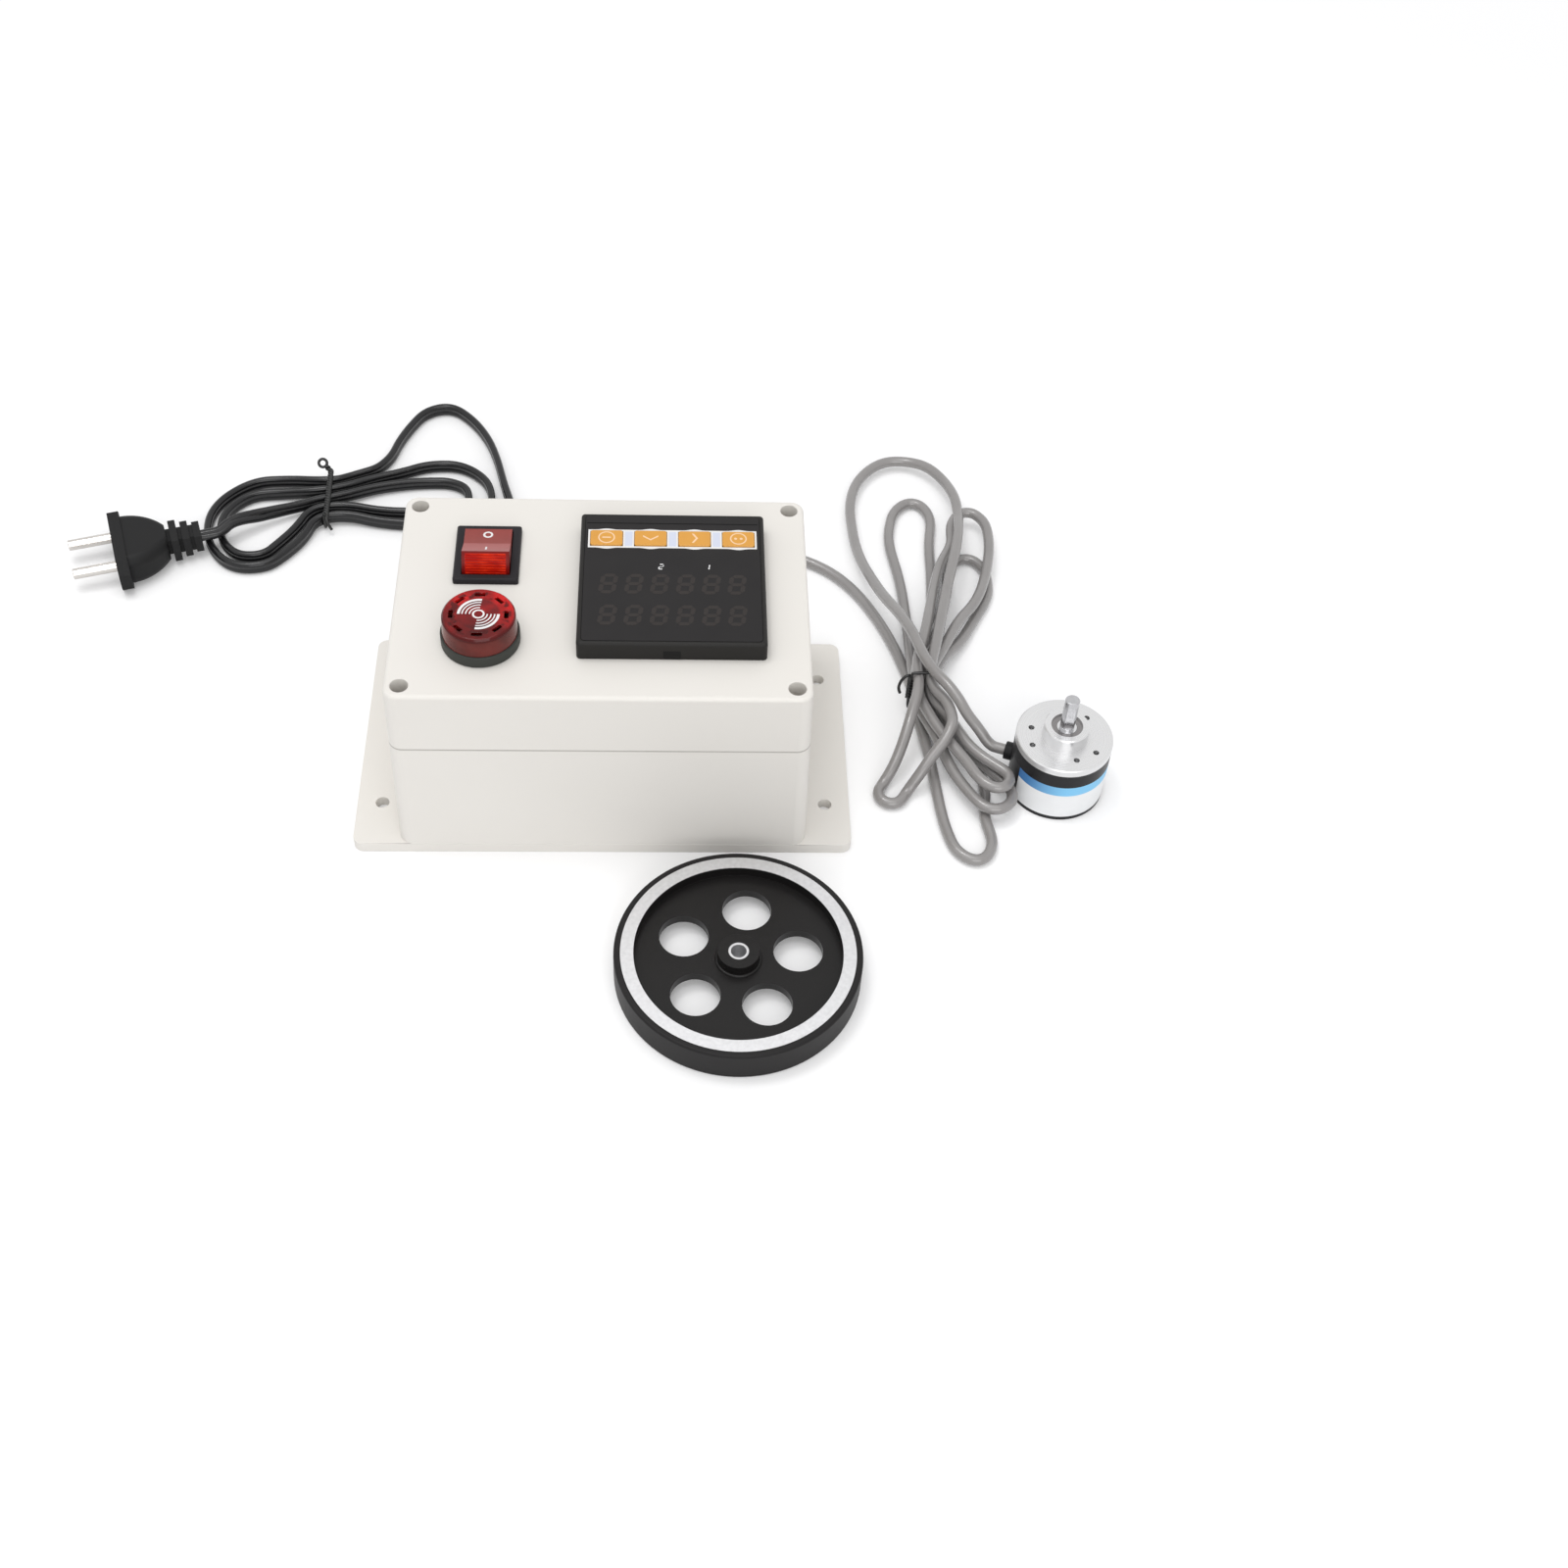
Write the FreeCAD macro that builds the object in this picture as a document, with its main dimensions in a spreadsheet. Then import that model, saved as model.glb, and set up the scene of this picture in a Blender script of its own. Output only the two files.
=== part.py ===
import FreeCAD, Part
import math
import os
import re
from FreeCAD import Vector

import Sketcher

# Cable length counter: a wall box with a panel counter, a rocker switch and a flashing
# sounder, a shaft encoder on a coiled signal cable, a measuring wheel and a mains cord.
# X runs right, Y away from the viewer, Z up. The origin is the centre of the box's base.

sizes = {
    # Box: drafted base with two ears, and a deep lid, both moulded
    "box_length": 160.0,
    "box_depth": 110.0,
    "box_height": 90.0,
    "parting_height": 61.0,
    "draft_share": 0.0157,
    "corner_radius": 5.5,
    "box_wall": 3.0,
    "floor_thickness": 3.5,
    "ear_reach": 20.0,
    "ear_thickness": 5.0,
    "ear_corner": 4.0,
    "mount_hole_reach": 10.0,
    "mount_hole_inset": 20.0,
    "mount_hole_radius": 2.75,
    "lid_edge_round": 1.6,
    # Lid fixings: deep bored corners, screws, brass inserts and a seal in a rebate
    "lid_screw_inset": 6.0,
    "lid_bore_radius": 3.4,
    "lid_seat_height": 6.0,
    "lid_post_radius": 5.2,
    "lid_screw_radius": 1.9,
    "lid_screw_clearance": 0.25,
    "lid_screw_length": 14.0,
    "lid_head_radius": 3.0,
    "lid_head_height": 2.4,
    "lid_slot_width": 0.9,
    "lid_slot_depth": 1.0,
    "insert_radius": 2.9,
    "insert_length": 10.0,
    "seal_width": 1.4,
    "seal_height": 1.2,
    "thread_play": 0.05,
    # Counter: 72 mm panel meter whose top points at the viewer
    "meter_x_share": 0.16875,
    "meter_y_share": 0.0109,
    "meter_front": 72.0,
    "meter_front_height": 8.3,
    "meter_front_corner": 1.5,
    "meter_front_bevel": 0.8,
    "meter_front_wall": 2.0,
    "meter_plate_thickness": 2.0,
    "meter_film_size": 68.4,
    "meter_film_thickness": 0.8,
    "meter_film_fit": 0.05,
    "meter_case": 67.0,
    "meter_case_corner": 1.2,
    "meter_under_room": 14.5,
    "meter_case_wall": 2.0,
    "meter_case_spigot": 4.0,
    "meter_cutout_play": 0.4,
    "latch_slot_width": 6.0,
    "latch_slot_height": 2.5,
    "display_width": 60.0,
    "display_height": 14.4,
    "display_thickness": 7.0,
    "display_upper_y": -3.8,
    "display_lower_y": -20.8,
    "display_play": 0.2,
    "board_play": 0.1,
    "board_thickness": 1.6,
    "key_pitch": 17.2,
    "key_row_y": 21.3,
    "key_width": 12.6,
    "key_height": 8.2,
    "key_proud": 0.7,
    "key_play": 0.2,
    "key_lip": 0.9,
    "key_corner": 1.0,
    "key_lip_gap": 0.1,
    "key_travel": 0.4,
    "key_overtravel": 0.1,
    "tact_size": 6.0,
    "tact_height": 3.4,
    "link_width": 40.0,
    "transformer_length": 30.0,
    "transformer_width": 26.0,
    "transformer_height": 22.0,
    "relay_length": 19.0,
    "relay_width": 15.5,
    "relay_height": 15.0,
    "relay_pitch": 21.0,
    "terminal_length": 61.0,
    "terminal_width": 10.0,
    "terminal_depth": 9.0,
    "terminal_offset": 20.0,
    "terminal_count": 8.0,
    "terminal_screw_radius": 2.6,
    "terminal_screw_height": 1.2,
    "clip_width": 24.0,
    "clip_thickness": 2.4,
    "clip_length": 34.0,
    "clip_gap": 0.1,
    # Rocker switch: snapped into the lid, off side pressed down
    "switch_x_share": -0.28375,
    "switch_y_share": 0.1827,
    "switch_bezel_width": 25.4,
    "switch_bezel_length": 31.0,
    "switch_bezel_height": 2.6,
    "switch_bezel_corner": 1.0,
    "switch_bezel_bevel": 0.6,
    "switch_body_width": 21.8,
    "switch_body_length": 28.0,
    "switch_body_depth": 22.0,
    "switch_wall": 1.4,
    "switch_floor": 3.0,
    "switch_cutout_play": 0.2,
    "rocker_play": 0.3,
    "rocker_reach": 12.0,
    "rocker_top_reach": 9.2,
    "rocker_end_height": 8.4,
    "rocker_middle_height": 6.9,
    "rocker_under": 2.5,
    "rocker_wall": 1.5,
    "rocker_hollow_reach": 9.0,
    "rocker_end_play": 0.1,
    "rocker_tilt": 15.0,
    "rocker_end_radius": 14.0,
    "pivot_sink": 1.2,
    "pivot_radius": 1.5,
    "pivot_play": 0.05,
    "pivot_bite": 1.0,
    "plunger_radius": 1.8,
    "plunger_length": 13.0,
    "contact_gap": 0.35,
    "contact_tilt": 5.0,
    "contact_seat_gap": 0.4,
    "contact_length": 18.0,
    "contact_width": 4.0,
    "contact_thickness": 1.0,
    "blade_width": 6.3,
    "blade_thickness": 0.8,
    "blade_length": 11.0,
    "blade_spacing_x": 11.0,
    "blade_spacing_y": 14.0,
    # Flashing sounder: 22 mm panel alarm with a clear lens over a dark collar
    "alarm_x_share": -0.2831,
    "alarm_y_share": -0.2282,
    "alarm_collar_radius": 15.0,
    "alarm_collar_height": 5.0,
    "alarm_lens_radius": 14.3,
    "alarm_lens_top_radius": 13.9,
    "alarm_lens_height": 8.6,
    "alarm_lens_wall": 1.4,
    "alarm_lens_spigot": 1.5,
    "alarm_lens_edge": 0.8,
    "alarm_fit": 0.05,
    "sound_slot_radius": 10.4,
    "sound_slot_width": 1.6,
    "sound_slot_length": 4.0,
    "sound_slot_count": 8.0,
    "alarm_barrel_radius": 11.0,
    "alarm_barrel_wall": 1.5,
    "alarm_barrel_length": 30.0,
    "alarm_hole_play": 0.3,
    "alarm_seal_thickness": 1.0,
    "alarm_seal_sink": 0.9,
    "alarm_seal_radius": 14.0,
    "alarm_nut_radius": 14.5,
    "alarm_nut_height": 6.0,
    "sounder_radius": 7.5,
    "sounder_height": 5.0,
    "lamp_count": 6.0,
    "lamp_ring_radius": 9.7,
    "lamp_radius": 1.5,
    "lamp_height": 3.0,
    "alarm_board_play": 0.2,
    "alarm_cap_thickness": 4.0,
    "alarm_terminal_spacing": 9.0,
    "alarm_terminal_width": 6.0,
    "alarm_terminal_length": 7.0,
    # Cord glands in the rear wall
    "gland_height": 24.0,
    "gland_x_share": 0.28125,
    "gland_flange_radius": 8.0,
    "gland_flange_thickness": 2.0,
    "gland_neck_radius": 6.0,
    "gland_neck_play": 0.1,
    "gland_tail_radius": 5.0,
    "gland_tail_length": 18.0,
    "gland_tail_tip_radius": 3.6,
    "gland_inner_length": 3.0,
    # Shaft encoder standing on its rear cover
    "encoder_x": 187.9,
    "encoder_y": -18.5,
    "encoder_radius": 20.0,
    "encoder_face_height": 30.3,
    "encoder_rim_height": 3.2,
    "encoder_cover_wall": 1.6,
    "encoder_cover_floor": 1.9,
    "label_thickness": 0.25,
    "label_top": 20.1,
    "encoder_boss_radius": 9.3,
    "encoder_boss_height": 6.15,
    "encoder_face_bevel": 0.4,
    "encoder_plug_depth": 12.0,
    "encoder_plug_play": 0.15,
    "encoder_shaft_radius": 3.0,
    "encoder_shaft_reach": 21.4,
    "encoder_shaft_flat": 0.5,
    "encoder_flat_length": 15.0,
    "shaft_groove_width": 0.5,
    "shaft_groove_depth": 0.2,
    "encoder_shaft_foot": 7.6,
    "shaft_bore_radius": 4.2,
    "bearing_outer_radius": 6.5,
    "bearing_width": 5.0,
    "bearing_sink": 0.9,
    "bearing_race": 1.05,
    "bearing_ball_count": 7.0,
    "ball_play": 0.01,
    "shield_thickness": 0.4,
    "shield_play": 0.1,
    "face_hole_radius": 1.25,
    "face_hole_depth": 6.0,
    "face_hole_inner_circle": 14.0,
    "face_hole_outer_circle": 15.0,
    "face_hole_split": 19.0,
    "face_hole_start": 62.0,
    "face_hole_sets": 3.0,
    "disk_radius": 14.0,
    "disk_thickness": 0.8,
    "disk_height": 10.6,
    "disk_hub_radius": 6.0,
    "disk_hub_height": 3.0,
    "disk_window_count": 24.0,
    "disk_window_radius": 12.4,
    "disk_window_length": 1.8,
    "disk_window_width": 0.9,
    "encoder_board_radius": 17.6,
    "encoder_board_height": 4.4,
    "reader_length": 6.0,
    "reader_width": 8.0,
    "reader_gap": 0.5,
    "reader_jaw": 1.4,
    "cover_screw_radius": 1.2,
    "cover_screw_length": 2.6,
    "cover_screw_height": 23.4,
    "cover_screw_count": 3.0,
    "encoder_gland_height": 12.0,
    "encoder_gland_angle": 160.0,
    "encoder_gland_radius": 3.8,
    "encoder_gland_reach": 3.0,
    # Measuring wheel lying on its side
    "wheel_x": 53.0,
    "wheel_y": -115.1,
    "wheel_radius": 47.75,
    "tyre_thickness": 2.55,
    "tyre_edge": 0.6,
    "rim_thickness": 5.1,
    "wheel_width": 14.0,
    "web_thickness": 4.0,
    "web_hole_radius": 9.6,
    "web_hole_circle": 23.4,
    "web_hole_count": 5.0,
    "web_hole_start": 81.0,
    "hub_radius": 8.0,
    "wheel_bore_radius": 3.0,
    "grub_radius": 1.6,
    "grub_length": 4.2,
    "grub_angle": 45.0,
    # Two-pin mains plug lying on its broad face
    "plug_face_x": -221.0,
    "plug_face_y": 105.6,
    "plug_heading": 197.0,
    "plug_flange_width": 42.0,
    "plug_flange_tall": 18.0,
    "plug_flange_thickness": 5.0,
    "plug_flange_corner": 5.0,
    "plug_body_width": 33.0,
    "plug_body_tall": 16.0,
    "plug_body_length": 18.0,
    "plug_neck_width": 14.0,
    "plug_neck_tall": 12.0,
    "plug_body_corner": 5.0,
    "relief_rib_count": 3.0,
    "relief_rib_length": 3.2,
    "relief_rib_gap": 1.8,
    "relief_core_width": 8.0,
    "relief_tip_share": 0.86,
    "pin_radius": 2.4,
    "pin_length": 19.0,
    "pin_spacing": 19.0,
    "pin_root": 8.0,
    "pin_root_radius": 1.8,
    # Cords and their wire ties
    "mains_cord_diameter": 5.0,
    "signal_cable_diameter": 4.8,
    "tie_thickness": 0.9,
    "tie_width": 2.6,
    "tie_corner": 2.0,
    "mains_tie_x": -132.0,
    "mains_tie_y": 145.9,
    "mains_tie_length": 31.8,
    "mains_tie_height": 5.6,
    "mains_tie_lift": 1.1,
    "signal_tie_x": 134.5,
    "signal_tie_y": 23.0,
    "signal_tie_length": 11.0,
    "signal_tie_height": 21.25,
    "signal_tie_lift": 0.95,
    "overrun": 1.0,
}

doc = FreeCAD.newDocument("CableLengthCounter")
sheet = doc.addObject("Spreadsheet::Sheet", "Sizes")
for row, (alias, cell_value) in enumerate(sizes.items(), start=1):
    sheet.set(f"A{row}", alias)
    sheet.set(f"B{row}", str(cell_value))
    sheet.setAlias(f"B{row}", alias)
doc.recompute()

# Places that follow the box, each a sum of the sheet's sizes
places = {
    "ear_span": "(box_length + 2 * ear_reach)",
    "mount_hole_x": "(box_length / 2 + mount_hole_reach)",
    "mount_hole_y": "(box_depth / 2 - mount_hole_inset)",
    "lid_screw_x": "(box_length / 2 - lid_screw_inset)",
    "lid_screw_y": "(box_depth / 2 - lid_screw_inset)",
    "meter_x": "(box_length * meter_x_share)",
    "meter_y": "(box_depth * meter_y_share)",
    "meter_case_depth": "(box_height - floor_thickness - terminal_depth - meter_under_room)",
    "switch_x": "(box_length * switch_x_share)",
    "switch_y": "(box_depth * switch_y_share)",
    "pivot_height": "(box_height - pivot_sink)",
    "alarm_x": "(box_length * alarm_x_share)",
    "alarm_y": "(box_depth * alarm_y_share)",
    "mains_gland_x": "(0 - box_length * gland_x_share)",
    "signal_gland_x": "(box_length * gland_x_share)",
}
pieces = []
NAME = re.compile(r"[a-z][a-z_]*[a-z]")


def spelled(text):
    """A sum with each place written out in sizes."""
    return NAME.sub(lambda m: places.get(m.group(), m.group()), text)


def sized(text):
    """A sum written in the sheet's names, as an expression on its cells."""
    return NAME.sub(lambda m: f"Sizes.{m.group()}" if m.group() in sizes else m.group(), spelled(text))


def number(text):
    """The same sum as a plain number, for the first guess of a sketch and for picking edges."""
    filled = NAME.sub(lambda m: f"({sizes[m.group()]})" if m.group() in sizes else m.group(), spelled(text))
    return FreeCAD.Units.parseQuantity(filled).Value


def bind(item, **sums):
    """Bind an object's properties to sums of the sheet's cells."""
    for prop, text in sums.items():
        item.setExpression(prop, sized(text))
    return item


def at(item, x="0", y="0", z="0"):
    """Bind where an object stands."""
    for axis, text in zip("xyz", (x, y, z)):
        item.setExpression(f"Placement.Base.{axis}", sized(text))
    return item


def slab(name, length, width, height, x="0", y="0", z="0"):
    """A box centred over x and y, with its underside at z."""
    item = bind(doc.addObject("Part::Box", name), Length=length, Width=width, Height=height)
    return at(item, f"({x}) - ({length}) / 2", f"({y}) - ({width}) / 2", z)


def rod(name, radius, height, x="0", y="0", z="0", along="z"):
    """A cylinder that starts at x, y, z and runs along one axis."""
    item = bind(doc.addObject("Part::Cylinder", name), Radius=radius, Height=height)
    turns = {"x": FreeCAD.Rotation(Vector(0, 1, 0), 90), "y": FreeCAD.Rotation(Vector(1, 0, 0), -90),
             "z": FreeCAD.Rotation()}
    item.Placement = FreeCAD.Placement(Vector(), turns[along])
    return at(item, x, y, z)


def cone(name, radius, tip_radius, height, x="0", y="0", z="0", along="z"):
    """A cone frustum that starts at x, y, z and runs along one axis."""
    item = bind(doc.addObject("Part::Cone", name), Radius1=radius, Radius2=tip_radius, Height=height)
    turns = {"y": FreeCAD.Rotation(Vector(1, 0, 0), -90), "z": FreeCAD.Rotation()}
    item.Placement = FreeCAD.Placement(Vector(), turns[along])
    return at(item, x, y, z)


def fuse(name, *items):
    """Several solids as one; solids that don't touch stay apart in one object."""
    item = doc.addObject("Part::MultiFuse", name)
    item.Shapes = list(items)
    return item


def cut(name, base, *tools):
    """A solid less one or more tools."""
    item = doc.addObject("Part::Cut", name)
    item.Base = base
    item.Tool = tools[0] if len(tools) == 1 else fuse(name + "_tools", *tools)
    return item


def common(name, first, second):
    """What two solids share."""
    item = doc.addObject("Part::Common", name)
    item.Base = first
    item.Tool = second
    return item


def together(name, *items):
    """Separate solids that are fixed to each other, kept as one object."""
    item = doc.addObject("Part::Compound", name)
    item.Links = list(items)
    return item


def piece(item, label):
    """Take an object as a finished sub-part under its own label."""
    item.Label = label
    pieces.append(item)
    return item


def new_body(name):
    return doc.addObject("PartDesign::Body", name)


def new_sketch(body, plane="XY_Plane", lift=None):
    """A sketch on one of the body's own origin planes, lifted along its normal."""
    sketch = body.newObject("Sketcher::SketchObject", body.Name + "_sketch")
    origin = next(f for f in body.Origin.OriginFeatures if f.Role == plane)
    sketch.AttachmentSupport = [(origin, "")]
    sketch.MapMode = "FlatFace"
    if lift is not None:
        sketch.setExpression("AttachmentOffset.Base.z", sized(lift))
    return sketch


def hold(sketch, kind, geometry, end, text):
    """Fix one coordinate of a sketch point to a sum."""
    index = sketch.addConstraint(Sketcher.Constraint(kind, -1, 1, geometry, end, number(text)))
    sketch.setExpression(f"Constraints[{index}]", sized(text))


def rounded_outline(sketch, width, length, radius, x="0", y="0"):
    """A rounded rectangle: four sides and four tangent corners."""
    w, d, r = number(width) / 2, number(length) / 2, number(radius)
    cx, cy = number(x), number(y)
    quarter = math.pi / 2
    corners = [(cx + w - r, cy - d + r, -quarter), (cx + w - r, cy + d - r, 0),
               (cx - w + r, cy + d - r, quarter), (cx - w + r, cy - d + r, 2 * quarter)]
    sides = [((cx - w + r, cy - d), (cx + w - r, cy - d)), ((cx + w, cy - d + r), (cx + w, cy + d - r)),
             ((cx + w - r, cy + d), (cx - w + r, cy + d)), ((cx - w, cy + d - r), (cx - w, cy - d + r))]
    for (start, end), (ax, ay, angle) in zip(sides, corners):
        sketch.addGeometry(Part.LineSegment(Vector(*start, 0), Vector(*end, 0)), False)
        circle = Part.Circle(Vector(ax, ay, 0), Vector(0, 0, 1), r)
        sketch.addGeometry(Part.ArcOfCircle(circle, angle, angle + quarter), False)
    for side in range(4):
        line, arc, following = 2 * side, 2 * side + 1, (2 * side + 2) % 8
        sketch.addConstraint(Sketcher.Constraint("Tangent", line, 2, arc, 1))
        sketch.addConstraint(Sketcher.Constraint("Tangent", arc, 2, following, 1))
        sketch.addConstraint(Sketcher.Constraint("Horizontal" if side % 2 == 0 else "Vertical", line))
        if side:
            sketch.addConstraint(Sketcher.Constraint("Equal", 1, arc))
    index = sketch.addConstraint(Sketcher.Constraint("Radius", 1, r))
    sketch.setExpression(f"Constraints[{index}]", sized(radius))
    hold(sketch, "DistanceY", 0, 1, f"({y}) - ({length}) / 2")
    hold(sketch, "DistanceX", 2, 1, f"({x}) + ({width}) / 2")
    hold(sketch, "DistanceY", 4, 1, f"({y}) + ({length}) / 2")
    hold(sketch, "DistanceX", 6, 1, f"({x}) - ({width}) / 2")
    return sketch


def outline(sketch, corners):
    """A closed outline, anticlockwise. A corner's third term is the radius of the arc that follows it."""
    spots = [Vector(number(c[0]), number(c[1]), 0) for c in corners]
    ends = []
    for index, corner in enumerate(corners):
        start, end = spots[index], spots[(index + 1) % len(spots)]
        if len(corner) == 2:
            sketch.addGeometry(Part.LineSegment(start, end), False)
            ends.append((1, 2))
            continue
        radius = number(corner[2])
        chord = end - start
        outwards = Vector(chord.y, -chord.x, 0).normalize()
        sagitta = radius - math.sqrt(radius ** 2 - (chord.Length / 2) ** 2)
        arc = Part.Arc(start, (start + end) / 2 + outwards * sagitta, end)
        sketch.addGeometry(arc, False)
        made = sketch.Geometry[index]
        ends.append((1, 2) if made.StartPoint.distanceToPoint(start) < made.EndPoint.distanceToPoint(start)
                    else (2, 1))
    for index, corner in enumerate(corners):
        following = (index + 1) % len(corners)
        sketch.addConstraint(Sketcher.Constraint("Coincident", index, ends[index][1],
                                                 following, ends[following][0]))
        if len(corner) == 3:
            held = sketch.addConstraint(Sketcher.Constraint("Radius", index, number(corner[2])))
            sketch.setExpression(f"Constraints[{held}]", sized(corner[2]))
    for index, corner in enumerate(corners):
        hold(sketch, "DistanceX", index, ends[index][0], corner[0])
        hold(sketch, "DistanceY", index, ends[index][0], corner[1])
    return sketch


def round_hole(sketch, radius, x="0", y="0"):
    """A circle at a held centre."""
    index = sketch.addGeometry(Part.Circle(Vector(number(x), number(y), 0), Vector(0, 0, 1),
                                           number(radius)), False)
    held = sketch.addConstraint(Sketcher.Constraint("Radius", index, number(radius)))
    sketch.setExpression(f"Constraints[{held}]", sized(radius))
    hold(sketch, "DistanceX", index, 3, x)
    hold(sketch, "DistanceY", index, 3, y)
    return sketch


def pad(body, sketch, height, middle=False):
    feature = body.newObject("PartDesign::Pad", body.Name + "_pad")
    feature.Profile = sketch
    feature.Midplane = middle
    return bind(feature, Length=height)


def pocket(body, sketch, depth, upwards=False):
    """Cut a sketch's outline down from its plane, or up from it."""
    feature = body.newObject("PartDesign::Pocket", body.Name + "_pocket")
    feature.Profile = sketch
    feature.Reversed = upwards
    return bind(feature, Length=depth)


def loft(body, first, second, hollow=False):
    """Join two outlines by a drafted wall, or cut the space between them."""
    kind = "PartDesign::SubtractiveLoft" if hollow else "PartDesign::AdditiveLoft"
    feature = body.newObject(kind, body.Name + "_loft")
    feature.Profile = first
    feature.Sections = [second]
    feature.Ruled = True
    return feature


def revolve(body, sketch, hollow=False):
    """Turn an outline on the XZ plane about the vertical axis."""
    feature = body.newObject("PartDesign::Groove" if hollow else "PartDesign::Revolution",
                             body.Name + "_turn")
    feature.Profile = sketch
    feature.ReferenceAxis = (sketch, ["V_Axis"])
    feature.Angle = 360
    return feature


def edges_where(feature, test):
    """Names of the edges whose middle passes a test."""
    doc.recompute()
    names = []
    for index, edge in enumerate(feature.Shape.Edges, start=1):
        middle = edge.valueAt((edge.FirstParameter + edge.LastParameter) / 2)
        if test(middle, edge):
            names.append(f"Edge{index}")
    return names


def soften(body, feature, radius, test, chamfer=False):
    """Round or bevel the edges that pass a test."""
    kind = "PartDesign::Chamfer" if chamfer else "PartDesign::Fillet"
    soft = body.newObject(kind, body.Name + "_soft")
    soft.Base = (feature, edges_where(feature, test))
    return bind(soft, **({"Size": radius} if chamfer else {"Radius": radius}))


def around(name, model, count, radius, angle, x, y):
    """Copies of a shape set round a circle, as one object of separate solids."""
    item = doc.addObject("Part::Feature", name)
    copies = []
    for index in range(int(count)):
        turn = math.radians(angle + index * 360 / count)
        copy = model.copy()
        copy.rotate(Vector(), Vector(0, 0, 1), math.degrees(turn))
        copy.translate(Vector(x + radius * math.cos(turn), y + radius * math.sin(turn), 0))
        copies.append(copy)
    item.Shape = Part.makeCompound(copies)
    return item


def size(name):
    """One cell of the sheet."""
    return float(sheet.get(name))


# Outlines of the drafted walls, at the foot, at the joint between base and lid, and on top
foot_length = "(box_length + 2 * draft_share * box_height)"
foot_depth = "(box_depth + 2 * draft_share * box_height)"
joint_length = "(box_length + 2 * draft_share * (box_height - parting_height))"
joint_depth = "(box_depth + 2 * draft_share * (box_height - parting_height))"
inner_corner = "(corner_radius - box_wall)"
corners = [(sx, sy) for sx in ("", "-") for sy in ("", "-")]


def corner_holes(sketch, radius, x, y):
    """Four equal circles, one toward each corner."""
    for sx, sy in corners:
        round_hole(sketch, radius, f"{sx}({x})", f"{sy}({y})")
    return sketch


# Seal: a square-section ring in a rebate of the base's rim
seal = new_body("seal")
rim_length = f"{joint_length} - 2 * (box_wall - seal_width)"
rim_depth = f"{joint_depth} - 2 * (box_wall - seal_width)"
seal_foot = "(parting_height - seal_height)"
pad(seal, rounded_outline(new_sketch(seal, lift=seal_foot), rim_length, rim_depth,
                          f"{inner_corner} + seal_width"), "seal_height")
pocket(seal, rounded_outline(new_sketch(seal, lift=seal_foot), f"{joint_length} - 2 * box_wall",
                             f"{joint_depth} - 2 * box_wall", inner_corner), "seal_height", upwards=True)
piece(seal, "lid_seal")

# Base: drafted tub with two ears, corner posts for the inserts and two gland holes
base = new_body("base")
loft(base, rounded_outline(new_sketch(base), foot_length, foot_depth, "corner_radius"),
     rounded_outline(new_sketch(base, lift="parting_height"), joint_length, joint_depth, "corner_radius"))
pad(base, rounded_outline(new_sketch(base), "ear_span", foot_depth, "ear_corner"), "ear_thickness")
pocket(base, rounded_outline(new_sketch(base, lift="floor_thickness"), f"{joint_length} - 2 * box_wall",
                             f"{joint_depth} - 2 * box_wall", inner_corner),
       "parting_height - floor_thickness", upwards=True)
pad(base, corner_holes(new_sketch(base, lift="floor_thickness"), "lid_post_radius",
                       "lid_screw_x", "lid_screw_y"), "parting_height - floor_thickness")
pocket(base, corner_holes(new_sketch(base, lift="parting_height"), "insert_radius + thread_play",
                          "lid_screw_x", "lid_screw_y"), "insert_length")
pocket(base, corner_holes(new_sketch(base, lift="parting_height"), "lid_screw_radius + lid_screw_clearance",
                          "lid_screw_x", "lid_screw_y"), "lid_screw_length")
pocket(base, corner_holes(new_sketch(base, lift="ear_thickness"), "mount_hole_radius",
                          "mount_hole_x", "mount_hole_y"), "ear_thickness")
rear_face = "(box_depth / 2 + draft_share * (box_height - gland_height + gland_flange_radius))"
inner_rear = f"({joint_depth} / 2 - box_wall)"
gland_holes = [rod(f"{side}_gland_hole", "gland_neck_radius + gland_neck_play",
                   f"{rear_face} - {inner_rear} + 2 * overrun", f"{side}_gland_x",
                   f"{inner_rear} - overrun", "gland_height", along="y") for side in ("mains", "signal")]
piece(cut("box_tub", base, seal, *gland_holes), "box_base")

# Lid: deep cover with bored corners and cutouts for the meter, the switch and the alarm
lid = new_body("lid")
lid_wall = pad(lid, rounded_outline(new_sketch(lid, lift="parting_height"), joint_length, joint_depth,
                                    "corner_radius"), "box_height - parting_height")
bind(lid_wall, TaperAngle="-atan(draft_share)")
soften(lid, lid_wall, "lid_edge_round",
       lambda middle, edge: middle.z > sizes["box_height"] - sizes["overrun"] / 2)
pocket(lid, rounded_outline(new_sketch(lid, lift="parting_height"), f"{joint_length} - 2 * box_wall",
                            f"{joint_depth} - 2 * box_wall", inner_corner),
       "box_height - parting_height - box_wall", upwards=True)
pad(lid, corner_holes(new_sketch(lid, lift="parting_height"), "lid_post_radius", "lid_screw_x",
                      "lid_screw_y"), "box_height - parting_height - box_wall / 2")
pocket(lid, corner_holes(new_sketch(lid, lift="box_height"), "lid_bore_radius", "lid_screw_x",
                         "lid_screw_y"), "box_height - parting_height - lid_seat_height")
pocket(lid, corner_holes(new_sketch(lid, lift="box_height"), "lid_screw_radius + lid_screw_clearance",
                         "lid_screw_x", "lid_screw_y"), "box_height - parting_height")
lid_inside = "(box_height - box_wall - overrun)"
through_lid = "box_wall + 2 * overrun"
meter_cutout = slab("meter_cutout", "meter_case + meter_cutout_play", "meter_case + meter_cutout_play",
                    through_lid, "meter_x", "meter_y", lid_inside)
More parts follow.
